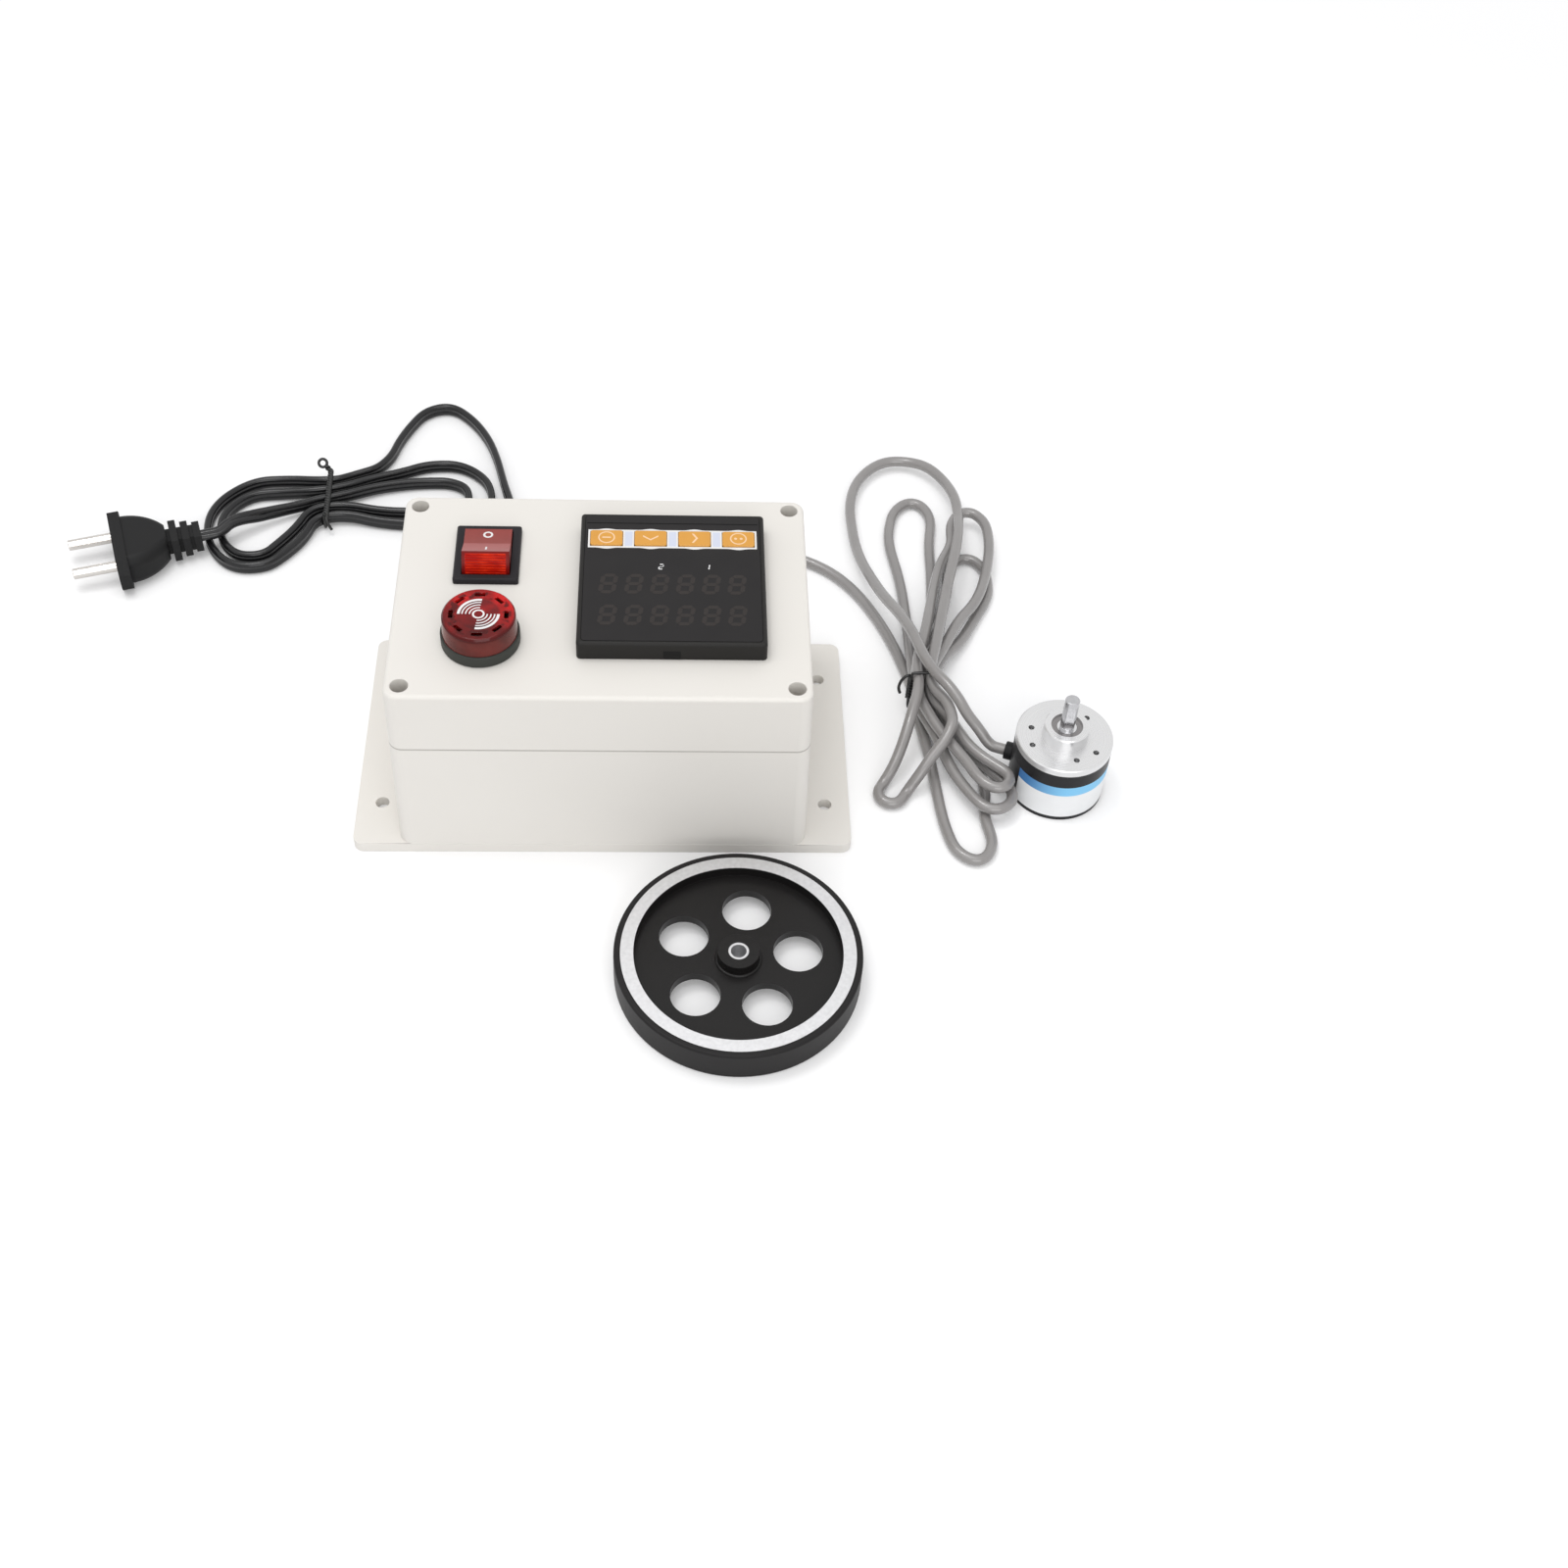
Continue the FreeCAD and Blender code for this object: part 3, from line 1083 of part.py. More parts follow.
reader_block = slab("reader_block", "reader_length", "reader_width",
                    f"disk_height + disk_thickness + 2 * reader_gap + reader_jaw - {board_top}",
                    reader_x, "encoder_y", board_top)
reader_slot = slab("reader_slot", "reader_length / 2 + reader_gap", "reader_width",
                   "disk_thickness + 2 * reader_gap",
                   f"{reader_x} - (reader_length / 2 - reader_gap) / 2", "encoder_y",
                   "disk_height - reader_gap")
piece(together("encoder_board_set", encoder_disc, cut("reader_cut", reader_block, reader_slot)),
      "encoder_board")

# Measuring wheel: turned disc with five holes, a tyre ring and a grub screw in the hub
web_foot = "((wheel_width - web_thickness) / 2)"
web_top = f"({web_foot} + web_thickness)"
rim_radius = "(wheel_radius - tyre_thickness)"
rim_bore = f"({rim_radius} - rim_thickness)"
disc = new_body("wheel_disc_body")
revolve(disc, outline(new_sketch(disc, "XZ_Plane"),
                      [("wheel_bore_radius", "0"), ("hub_radius", "0"), ("hub_radius", web_foot),
                       (rim_bore, web_foot), (rim_bore, "0"), (rim_radius, "0"), (rim_radius, "wheel_width"),
                       (rim_bore, "wheel_width"), (rim_bore, web_top), ("hub_radius", web_top),
                       ("hub_radius", "wheel_width"), ("wheel_bore_radius", "wheel_width")]))
web_holes = pocket(disc, round_hole(new_sketch(disc, lift=web_top), "web_hole_radius",
                                    "web_hole_circle"), "web_thickness")
hole_pattern = disc.newObject("PartDesign::PolarPattern", "web_hole_pattern")
hole_pattern.Originals = [web_holes]
spin_axis = next(f for f in disc.Origin.OriginFeatures if f.Role == "Z_Axis")
hole_pattern.Axis = (spin_axis, [""])
hole_pattern.Angle = 360
hole_pattern.setExpression("Occurrences", "Sizes.web_hole_count")
disc.Tip = hole_pattern
disc.Placement = FreeCAD.Placement(Vector(), FreeCAD.Rotation(Vector(0, 0, 1), sizes["web_hole_start"]))
disc.setExpression("Placement.Rotation.Angle", "Sizes.web_hole_start * 1 deg")
at(disc, "wheel_x", "wheel_y")
grub = doc.addObject("Part::Feature", "grub_screw_rod")
grub_height = number(f"({web_top} + wheel_width) / 2")
grub_model = Part.makeCylinder(size("grub_radius"), size("grub_length"),
                               Vector(size("hub_radius") - size("grub_length"), 0, grub_height),
                               Vector(1, 0, 0))
grub_model.rotate(Vector(), Vector(0, 0, 1), sizes["grub_angle"])
grub_model.translate(Vector(size("wheel_x"), size("wheel_y"), 0))
grub.Shape = grub_model
piece(cut("wheel_disc_cut", disc, grub), "wheel_disc")
piece(grub, "wheel_grub_screw")
tyre = new_body("wheel_tyre_body")
revolve(tyre, outline(new_sketch(tyre, "XZ_Plane"),
                      [(rim_radius, "0"), ("wheel_radius - tyre_edge", "0"), ("wheel_radius", "tyre_edge"),
                       ("wheel_radius", "wheel_width - tyre_edge"),
                       ("wheel_radius - tyre_edge", "wheel_width"), (rim_radius, "wheel_width")]))
piece(at(tyre, "wheel_x", "wheel_y"), "wheel_tyre")

# Plug: an eight-sided finger flange, a bulged body, a ribbed relief and two round pins
plug_middle = "(plug_flange_tall / 2)"
flange = new_body("plug_flange_body")
half_width = "(plug_flange_width / 2)"
pad(flange, outline(new_sketch(flange, "YZ_Plane", lift="-plug_flange_thickness"),
                    [(f"0 - {half_width} + plug_flange_corner", "0"),
                     (f"{half_width} - plug_flange_corner", "0"), (half_width, "plug_flange_corner"),
                     (half_width, "plug_flange_tall - plug_flange_corner"),
                     (f"{half_width} - plug_flange_corner", "plug_flange_tall"),
                     (f"0 - {half_width} + plug_flange_corner", "plug_flange_tall"),
                     (f"0 - {half_width}", "plug_flange_tall - plug_flange_corner"),
                     (f"0 - {half_width}", "plug_flange_corner")]), "plug_flange_thickness")
bulge = new_body("plug_bulge_body")
body_shares = [(0.0, 1.0), (0.45, 0.9), (0.8, 0.66), (1.0, 0.42)]
sections = []
for along_share, width_share in body_shares:
    sections.append(rounded_outline(
        new_sketch(bulge, "YZ_Plane", lift=f"-plug_flange_thickness - plug_body_length * {along_share}"),
        f"plug_body_width * {width_share}",
        f"plug_neck_tall + (plug_body_tall - plug_neck_tall) * {width_share}", "plug_body_corner",
        "0", plug_middle))
bulge_loft = bulge.newObject("PartDesign::AdditiveLoft", "plug_bulge_loft")
bulge_loft.Profile = sections[0]
bulge_loft.Sections = sections[1:]
relief_start = "(plug_flange_thickness + plug_body_length)"
relief_pitch = "(relief_rib_length + relief_rib_gap)"
relief_parts = [slab("relief_core", f"relief_rib_count * {relief_pitch}", "relief_core_width",
                     "relief_core_width", f"0 - {relief_start} - relief_rib_count * {relief_pitch} / 2", "0",
                     f"{plug_middle} - relief_core_width / 2")]
for index in range(int(sizes["relief_rib_count"])):
    share = sizes["relief_tip_share"] ** index
    relief_parts.append(slab(f"relief_rib_{index}", "relief_rib_length", f"plug_neck_width * {share}",
                             f"plug_neck_tall * {share}",
                             f"0 - {relief_start} - {relief_pitch} * {index + 1} + relief_rib_length / 2", "0",
                             f"{plug_middle} - plug_neck_tall * {share} / 2"))
pins = []
pin_sockets = []
for index, sign in enumerate(("", "-"), start=1):
    y = f"{sign}pin_spacing / 2"
    pins.append(rod(f"plug_pin_{index}", "pin_radius", "pin_length", "0", y, plug_middle, along="x"))
    pins.append(rod(f"pin_root_{index}", "pin_root_radius", "pin_root", "-pin_root", y, plug_middle, along="x"))
    pin_sockets.append(rod(f"pin_socket_{index}", "pin_root_radius", "2 * pin_root", "-pin_root", y,
                           plug_middle, along="x"))
plug_solid = cut("plug_solid", fuse("plug_moulding", flange, bulge, *relief_parts), *pin_sockets)
pin_pair = fuse("pin_pair", *pins)
for item, label in ((plug_solid, "mains_plug"), (pin_pair, "plug_pins")):
    item.Placement = FreeCAD.Placement(Vector(), FreeCAD.Rotation(Vector(0, 0, 1), sizes["plug_heading"]))
    item.setExpression("Placement.Rotation.Angle", "Sizes.plug_heading * 1 deg")
    piece(at(item, "plug_face_x", "plug_face_y"), label)

# Cords: free stretches are straight runs with tangent arcs, hanks are one tube on pairs of arcs.
# A turn flatter than the straight share is a line.
RUN_SHARE = 0.45
STRAIGHT_SHARE = 0.001
GAP_SHARE = 0.2


def heading(degrees):
    """A level unit vector."""
    return Vector(math.cos(math.radians(degrees)), math.sin(math.radians(degrees)), 0)


def bend(start, corner, end):
    """The arc whose tangents at both ends meet in the corner, or a line where they are one. Also its radius."""
    middle = (start + end) / 2
    rise = corner.distanceToPoint(middle)
    half_chord = start.distanceToPoint(end) / 2
    if rise < half_chord * STRAIGHT_SHARE:
        return Part.LineSegment(start, end), math.inf
    radius = start.distanceToPoint(corner) * half_chord / rise
    sagitta = radius - math.sqrt(max(radius ** 2 - half_chord ** 2, 0))
    return Part.Arc(start, middle + (corner - middle) * (sagitta / rise), end), radius


def run_path(points):
    """Straight runs joined by arcs, each as large as 0.45 of its shorter run allows."""
    curves = []
    radii = []
    last = points[0]
    for before, corner, after in zip(points, points[1:], points[2:]):
        reach = RUN_SHARE * min(before.distanceToPoint(corner), corner.distanceToPoint(after))
        start = corner + (before - corner).normalize() * reach
        end = corner + (after - corner).normalize() * reach
        arc, radius = bend(start, corner, end)
        curves += [Part.LineSegment(last, start), arc]
        radii.append(radius)
        last = end
    curves.append(Part.LineSegment(last, points[-1]))
    return curves, radii


def hank_path(stations):
    """A pair of arcs from each station to the next: a point and, if it has one, a level heading."""
    spots = [Vector(*station[:3]) for station in stations]
    ways = []
    for index, station in enumerate(stations):
        if len(station) == 4:
            ways.append(heading(station[3]))
        else:
            ways.append((spots[index + 1] - spots[index - 1]).normalize())
    curves = []
    radii = []
    for start, end, way_in, way_out in zip(spots, spots[1:], ways, ways[1:]):
        gap = end - start
        both = way_in + way_out
        spread = 4 - both.dot(both)
        along = gap.dot(both)
        if spread < STRAIGHT_SHARE ** 2:
            reach = gap.dot(gap) / (2 * along)
        else:
            reach = (math.sqrt(along ** 2 + spread * gap.dot(gap)) - along) / spread
        first = start + way_in * reach
        second = end - way_out * reach
        joint = (first + second) / 2
        for piece_start, corner, piece_end in ((start, first, joint), (joint, second, end)):
            arc, radius = bend(piece_start, corner, piece_end)
            curves.append(arc)
            radii.append(radius)
    return curves, radii


def spots_along(curves, step):
    """Points at an even step along a path, with how far along each lies."""
    spots = []
    travelled = 0.0
    for curve in curves:
        edge = curve.toShape()
        count = max(1, round(edge.Length / step))
        for spot_index, spot in enumerate(edge.discretize(Number=count + 1)[:-1]):
            spots.append((travelled + edge.Length * spot_index / count, spot))
        travelled += edge.Length
    return spots


def least_gap(curves, diameter):
    """The least clear gap between stretches of a tube that aren't neighbours along it."""
    spots = spots_along(curves, diameter * GAP_SHARE)
    apart = math.pi * diameter
    nearest = min(first.distanceToPoint(second) for index, (here, first) in enumerate(spots)
                  for there, second in spots[index + 1:] if there - here > apart)
    return nearest - diameter


def tube(label, path, diameter):
    """A round tube along a path, with its figures printed."""
    curves, radii = path
    wire = Part.Wire([curve.toShape() for curve in curves])
    way = curves[0].tangent(curves[0].FirstParameter)[0]
    ring = Part.Wire(Part.Circle(curves[0].value(curves[0].FirstParameter), way, diameter / 2).toShape())
    item = doc.addObject("Part::Feature", label + "_tube")
    item.Shape = wire.makePipeShell([ring], True, False)
    filled = item.Shape.Volume / (math.pi * diameter ** 2 / 4 * wire.Length)
    print(f"{label}: {wire.Length:.0f} mm, least radius {min(radii):.1f} mm, volume {filled:.4f} of "
          f"section times length, least gap to itself {least_gap(curves, diameter):.2f} mm")
    return piece(item, label)


mains_size = size("mains_cord_diameter")
signal_size = size("signal_cable_diameter")
plug_length = f"plug_flange_thickness + plug_body_length + relief_rib_count * {relief_pitch}"
plug_way = heading(size("plug_heading"))
plug_face = Vector(size("plug_face_x"), size("plug_face_y"), number(plug_middle))
plug_end = plug_face - plug_way * number(plug_length)
mains_exit = Vector(number("mains_gland_x"), number(gland_tip), size("gland_height"))
signal_exit = Vector(number("signal_gland_x"), number(gland_tip), size("gland_height"))

# Mains cord: out of the gland, over the floor behind the box and back to the hank beside it
MAINS_ROUTE = [(-45, 89, 24), (-44.6, 103, 15), (-44, 117, 5), (-45, 132, 2.6), (-48.5, 147, 2.6),
               (-52.5, 162, 2.6), (-56, 177, 2.6), (-61, 191.5, 2.6), (-69, 205, 2.6), (-80, 215.5, 2.6),
               (-92.5, 211.5, 2.6), (-99, 199.5, 2.6), (-103.4, 188.2, 2.6), (-105.6, 178.6, 2.6),
               (-109.6, 171.5, 2.8), (-113.1, 167.65, 3.2)]
MAINS_JOIN = (-117.3, 165.6, 3.2)
MAINS_JOIN_HEADING = 206
# The turns of the hank, from the loop beside the plug to the one behind the box and back. Each leaves
# the waist by one slot and comes back by another.
MAINS_TURNS = [
    [(-132, 159, 3.9, 184), (-157, 160, 2.6, 185), (-184.3, 130, 2.6, 270), (-161.5, 102.4, 2.6, 0),
     (-143.2, 117, 2.8, 57)],
    [(-130.5, 134.7, 3.9, 12), (-98, 132, 2.6, -3), (-57, 149, 2.6, 90), (-81, 172.5, 2.6, 180),
     (-106, 164, 3.0)],
    [(-132, 153, 3.9, 192), (-160, 151, 2.6, 186), (-178.3, 129, 2.6, 270), (-162, 109.2, 2.6, 0),
     (-148.4, 121.3, 2.8, 57)],
    [(-132, 141, 3.9, 10), (-98, 139.5, 2.6, 0), (-67.5, 150, 2.6, 90), (-81, 160.5, 2.6, 180),
     (-104, 157.5, 3.0)],
    [(-132, 147, 3.9, 195), (-145, 141, 4.5), (-159.5, 133.5, 6.4), (-170.5, 126.5, 8.8)]]
tube("mains_cord", run_path([mains_exit] + [Vector(*spot) for spot in MAINS_ROUTE + [MAINS_JOIN]]), mains_size)
mains_stations = [(*MAINS_JOIN, MAINS_JOIN_HEADING),
                  (*(Vector(*MAINS_JOIN) + heading(MAINS_JOIN_HEADING) * mains_size), MAINS_JOIN_HEADING)]
for turn_stations in MAINS_TURNS:
    mains_stations += turn_stations
for spot in (plug_end - plug_way * mains_size, plug_end):
    mains_stations.append((*spot, size("plug_heading")))
tube("mains_hank", hank_path(mains_stations), mains_size)

# Signal cable: a short run to a hank of four layers in two columns, then on to the encoder's gland
SIGNAL_ROUTE = [(45, 90, 24), (47.5, 103, 15), (54, 113, 5), (68, 118.5, 2.5), (85, 113.5, 2.5), (99, 105, 2.5),
                (110, 92, 2.5), (118.5, 75.5, 2.5), (124.8, 58.5, 2.5)]
SIGNAL_JOIN = (128.6, 44, 2.5)
SIGNAL_JOIN_HEADING = -76
SIGNAL_WAIST = (134.5, 23)
SIGNAL_WAIST_FOOT = 3.6
SIGNAL_LAYER_GAP = 0.5
SIGNAL_COLUMN_GAP = 0.6


def end_turn(x, y, wide, reach, way, height, taper=0, height_in=None, height_out=None):
    """Three stations round the end of a loop: in, at the tip that points the given way, and out."""
    tip_way = heading(way)
    side = heading(way - 90)
    middle = Vector(x, y, height)
    into = middle + side * wide
    out_of = middle - side * wide
    into.z = height if height_in is None else height_in
    out_of.z = height if height_out is None else height_out
    return [(*into, way + taper), (*(middle + tip_way * reach), way + 90), (*out_of, way + 180 - taper)]


NEAR_LOOPS = [
    [(136, -10, 2.6, 275), *end_turn(150, -51.5, 9.5, 10, -78, 2.6, 4), (156.5, -16, 2.6), (147, 3, 2.6)],
    [(139, -3, 8.8), (145, -21, 7.9), *end_turn(159.8, -31.5, 7.8, 8, -55, 7.9), (156, -13.5, 7.9),
     (146.5, 4.5, 8.3)],
    [(136.8, 4, 14.2), (147, -14.5, 13.4), *end_turn(161, -27.3, 5.3, 5.3, -42, 13.3), (153, -12, 13.3),
     (145.8, 1.5, 13.8)],
    [(127.3, 3, 17), (120.5, -14, 8), *end_turn(118.2, -27, 5.3, 5.3, -120, 2.6), (132.5, -19, 11.5),
     (142.8, -6.5, 19.9), (143.6, 4, 20.6)]]
FAR_LOOPS = [
    [(144.2, 90, 2.6), *end_turn(137.3, 131, 9.2, 21, 80, 2.6, 10), (131.8, 76, 3.4)],
    [(143.3, 42, 7.8), (158, 66, 3.4), *end_turn(161.3, 95, 9.3, 19, 87, 2.6, 8), (146.5, 71, 8.3)],
    [(150, 58, 11.5), (166, 88, 8.4), *end_turn(164, 118, 8.4, 21.5, 89, 8.1, 8), (147, 97, 9.9),
     (139.3, 62, 15.9)],
    [(142.8, 52, 18.5), (148.5, 78, 16.2), (156.5, 118, 13.8),
     *end_turn(135, 139, 24.8, 39.5, 91, 5, 9, 13.6, 4.5), (111.8, 113, 7), (118, 84, 14),
     (129, 50, 23.5), (136, 24.5, 26.2), (145.3, 9, 26.3), (153.3, -0.5, 20.5)]]
tube("signal_cable", run_path([signal_exit] + [Vector(*spot) for spot in SIGNAL_ROUTE + [SIGNAL_JOIN]]),
     signal_size)
column = (signal_size + SIGNAL_COLUMN_GAP) / 2
signal_stations = [(*SIGNAL_JOIN, SIGNAL_JOIN_HEADING),
                   (*(Vector(*SIGNAL_JOIN) + heading(SIGNAL_JOIN_HEADING) * signal_size), SIGNAL_JOIN_HEADING)]
for layer, (near_loop, far_loop) in enumerate(zip(NEAR_LOOPS, FAR_LOOPS)):
    layer_height = SIGNAL_WAIST_FOOT + layer * (signal_size + SIGNAL_LAYER_GAP)
    signal_stations.append((SIGNAL_WAIST[0] - column, SIGNAL_WAIST[1], layer_height, -88))
    signal_stations += near_loop
    signal_stations.append((SIGNAL_WAIST[0] + column, SIGNAL_WAIST[1], layer_height, 88))
    signal_stations += far_loop
encoder_way = heading(size("encoder_gland_angle"))
encoder_entry = (Vector(size("encoder_x"), size("encoder_y"), size("encoder_gland_height"))
                 + encoder_way * (size("encoder_radius") + size("encoder_gland_reach")))
for spot in (encoder_entry + encoder_way * signal_size, encoder_entry):
    signal_stations.append((*spot, size("encoder_gland_angle") + 180))
tube("signal_hank", hank_path(signal_stations), signal_size)


def wire_tie(label, plane, length, height, lift):
    """A closed flat band of even thickness round a waist, standing across one level axis."""
    body = new_body(label + "_body")
    pad(body, rounded_outline(new_sketch(body, plane, lift="-tie_width / 2"), f"{length} + 2 * tie_thickness",
                              f"{height} + 2 * tie_thickness", "tie_corner + tie_thickness", "0",
                              f"{lift} + {height} / 2"), "tie_width")
    pocket(body, rounded_outline(new_sketch(body, plane, lift="-tie_width / 2"), length, height, "tie_corner",
                                 "0", f"{lift} + {height} / 2"), "tie_width", upwards=True)
    return piece(at(body, f"{label}_x", f"{label}_y"), label)


# Wire ties: a flat band pulled round each hank's waist
wire_tie("mains_tie", "YZ_Plane", "mains_tie_length", "mains_tie_height", "mains_tie_lift")
wire_tie("signal_tie", "XZ_Plane", "signal_tie_length", "signal_tie_height", "signal_tie_lift")

doc.recompute()
faults = [f"{item.Name}: {item.State}" for item in doc.Objects
          if {"Invalid", "Error"} & set(item.State)]
for item in pieces:
    if item.Shape.isNull() or not item.Shape.isValid():
        faults.append(f"{item.Label}: no valid shape")
if faults:
    raise RuntimeError("\n".join(faults))
os.makedirs("parts", exist_ok=True)
for item in pieces:
    item.Shape.exportStep(f"parts/{item.Label}.step")
print(len(pieces), "sub-parts written")
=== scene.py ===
# A cable length counter: a wall box with a panel counter, a rocker switch and a flashing
# sounder, its shaft encoder and measuring wheel, and the two cords that come out of the box.
# Sizes are in millimetres and become metres by MM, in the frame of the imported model: X right,
# Y back, Z up, floor at zero.
import math

import bmesh
import bpy
from mathutils import Matrix, Vector


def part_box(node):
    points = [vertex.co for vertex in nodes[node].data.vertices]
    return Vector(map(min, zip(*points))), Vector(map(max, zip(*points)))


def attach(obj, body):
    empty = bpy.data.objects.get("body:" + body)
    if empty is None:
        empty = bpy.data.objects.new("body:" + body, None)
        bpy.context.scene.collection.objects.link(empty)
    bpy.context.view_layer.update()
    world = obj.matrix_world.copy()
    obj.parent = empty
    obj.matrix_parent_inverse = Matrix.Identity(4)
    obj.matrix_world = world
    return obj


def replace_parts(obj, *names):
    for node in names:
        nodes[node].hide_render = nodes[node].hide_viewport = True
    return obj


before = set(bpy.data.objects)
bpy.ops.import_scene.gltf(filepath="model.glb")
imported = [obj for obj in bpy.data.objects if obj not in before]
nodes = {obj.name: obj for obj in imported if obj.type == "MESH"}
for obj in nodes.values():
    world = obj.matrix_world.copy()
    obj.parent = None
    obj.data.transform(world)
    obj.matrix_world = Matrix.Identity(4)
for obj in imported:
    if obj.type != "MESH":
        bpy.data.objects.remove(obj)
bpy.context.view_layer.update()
MM = 0.001

# Floor, light and camera: a white studio floor under a large soft lamp and two smaller ones,
# seen from above its near edge.
CAMERA_PLACE = (26.3, -564.2, 646.7)
CAMERA_PITCH = 49.81
CAMERA_YAW = 5.01
CAMERA_ROLL = 4.14
SENSOR = 36.0
FOCAL_PIXELS = 2070
FRAME_PIXELS = 1600
LAMPS = (("key_lamp", (-0.25, -0.1, 2.05), 1.7, 16.0), ("small_lamp", (-0.35, 0.25, 1.85), 0.35, 3.6),
         ("front_lamp", (0.3, -1.8, 1.1), 1.4, 13.0))
FLOOR_SIZE = 8.0
FLOOR_COLOUR = (0.88, 0.88, 0.885)
FLOOR_GLOW = (0.12, 0.12, 0.12)
GLOW_NEAR = 0.7
GLOW_FAR = 2.6
WORLD_GLOW = 0.62
WHITE = (1.0, 1.0, 1.0)
BLACK = (0.0, 0.0, 0.0)


class Socket:
    """An output of a node that can stand in a sum."""

    def __init__(self, finish, output):
        self.finish = finish
        self.output = output

    def math(self, operation, *terms):
        return self.finish.node("ShaderNodeMath", {"operation": operation}, inputs=terms)

    def __add__(self, other):
        return self.math("ADD", self, other)

    def __radd__(self, other):
        return self.math("ADD", other, self)

    def __sub__(self, other):
        return self.math("SUBTRACT", self, other)

    def __rsub__(self, other):
        return self.math("SUBTRACT", other, self)

    def __mul__(self, other):
        return self.math("MULTIPLY", self, other)

    def __rmul__(self, other):
        return self.math("MULTIPLY", other, self)

    def __pow__(self, other):
        return self.math("POWER", self, other)

    def absolute(self):
        return self.math("ABSOLUTE", self)

    def lesser(self, other):
        return self.math("MINIMUM", self, other)

    def greater(self, other):
        return self.math("MAXIMUM", self, other)

    def ramp(self, low, high, start=0.0, end=1.0):
        """Runs smoothly from start to end while this one runs from low to high."""
        return self.finish.node("ShaderNodeMapRange", {"interpolation_type": "SMOOTHSTEP"},
                                inputs=(self, low, high, start, end))

    def edge(self, place, blur):
        """Steps from 0 to 1 at a place, over so many millimetres each way; down if they are minus."""
        return self.ramp((place - blur) * MM, (place + blur) * MM)

    def mix(self, none, full):
        """A colour between two, by this share."""
        return self.finish.node("ShaderNodeMix", {"data_type": "RGBA"}, out=2,
                                inputs={0: self, 6: none, 7: full})


class Nodes:
    """The nodes of a material or of the world, added one by one round its shader."""

    def __init__(self, tree, shader):
        self.tree = tree
        self.shader = tree.nodes[shader]

    def set(self, name, value):
        """Gives one input of the shader a value or a link."""
        self.feed(self.shader.inputs[name], value)

    def feed(self, socket, value):
        """Gives any input a value or a link; a colour may be given as three numbers."""
        if isinstance(value, Socket):
            self.tree.links.new(value.output, socket)
        elif socket.type == "RGBA" and len(value) == 3:
            socket.default_value = (*value, 1.0)
        else:
            socket.default_value = value

    def node(self, kind, settings=None, out=0, inputs=()):
        """Adds a node: its settings first, then its inputs by place or name."""
        made = self.tree.nodes.new(kind)
        for setting, value in (settings or {}).items():
            setattr(made, setting, value)
        for key, value in inputs.items() if isinstance(inputs, dict) else enumerate(inputs):
            self.feed(made.inputs[key], value)
        return Socket(self, made.outputs[out])

    def background_rays(self):
        """At least 1 on rays that show the background: to the camera, off metal and through glass."""
        rays = self.node("ShaderNodeLightPath").output.node.outputs
        return sum((Socket(self, rays[name]) for name in ("Is Glossy Ray", "Is Transmission Ray")),
                   Socket(self, rays["Is Camera Ray"]))


class Finish(Nodes):
    """A surface finish: a material and its nodes."""

    def __init__(self, name, colour=None, **more):
        self.material = bpy.data.materials.new(name)
        self.material.use_nodes = True
        super().__init__(self.material.node_tree, "Principled BSDF")
        if colour is not None:
            self.set("Base Color", colour)
        for socket, value in more.items():
            self.set(socket.replace("_", " "), value)

    def place(self):
        """Where a point lies on the piece, in metres."""
        return self.node("ShaderNodeTexCoord", out=3)

    def axes(self):
        """That place as three numbers."""
        split = self.node("ShaderNodeSeparateXYZ", inputs=(self.place(),))
        outputs = split.output.node.outputs
        return [Socket(self, outputs[axis]) for axis in range(3)]

    def vary(self, share, low, high, swing, least):
        """Varies the colour from low to high and the roughness by a swing, by one share."""
        self.set("Base Color", share.mix(low, high))
        self.set("Roughness", share * swing + least)

    def noise(self, per_metre, detail=2.0, roughness=0.5, stretch=(1, 1, 1)):
        """Cloudy variation from 0 to 1, with so many clouds to the metre."""
        place = self.node("ShaderNodeMapping", inputs={"Vector": self.place(), "Scale": stretch})
        return self.node("ShaderNodeTexNoise", inputs={"Vector": place, "Scale": per_metre,
                                                       "Detail": detail, "Roughness": roughness})

    def bump(self, height, distance, strength=1.0):
        """Feeds the shader's normal with a relief of so many metres."""
        relief = self.node("ShaderNodeBump", inputs={"Strength": strength, "Distance": distance,
                                                     "Height": height})
        self.set("Normal", relief)


bpy.ops.object.select_all(action="DESELECT")
bpy.ops.mesh.primitive_plane_add(size=FLOOR_SIZE)
floor = bpy.context.object
floor.name = "studio_floor"
floor_finish = Finish("studio_white", FLOOR_COLOUR, Roughness=0.9, Specular_IOR_Level=0.0)
reach = floor_finish.node("ShaderNodeVectorMath", {"operation": "LENGTH"}, out=1,
                          inputs=(floor_finish.place(),))
glow = reach.ramp(GLOW_NEAR, GLOW_FAR).mix(FLOOR_GLOW, WHITE)
floor_finish.set("Emission Color", floor_finish.background_rays().lesser(1.0).mix(BLACK, glow))
floor_finish.set("Emission Strength", 1.0)
floor.data.materials.append(floor_finish.material)

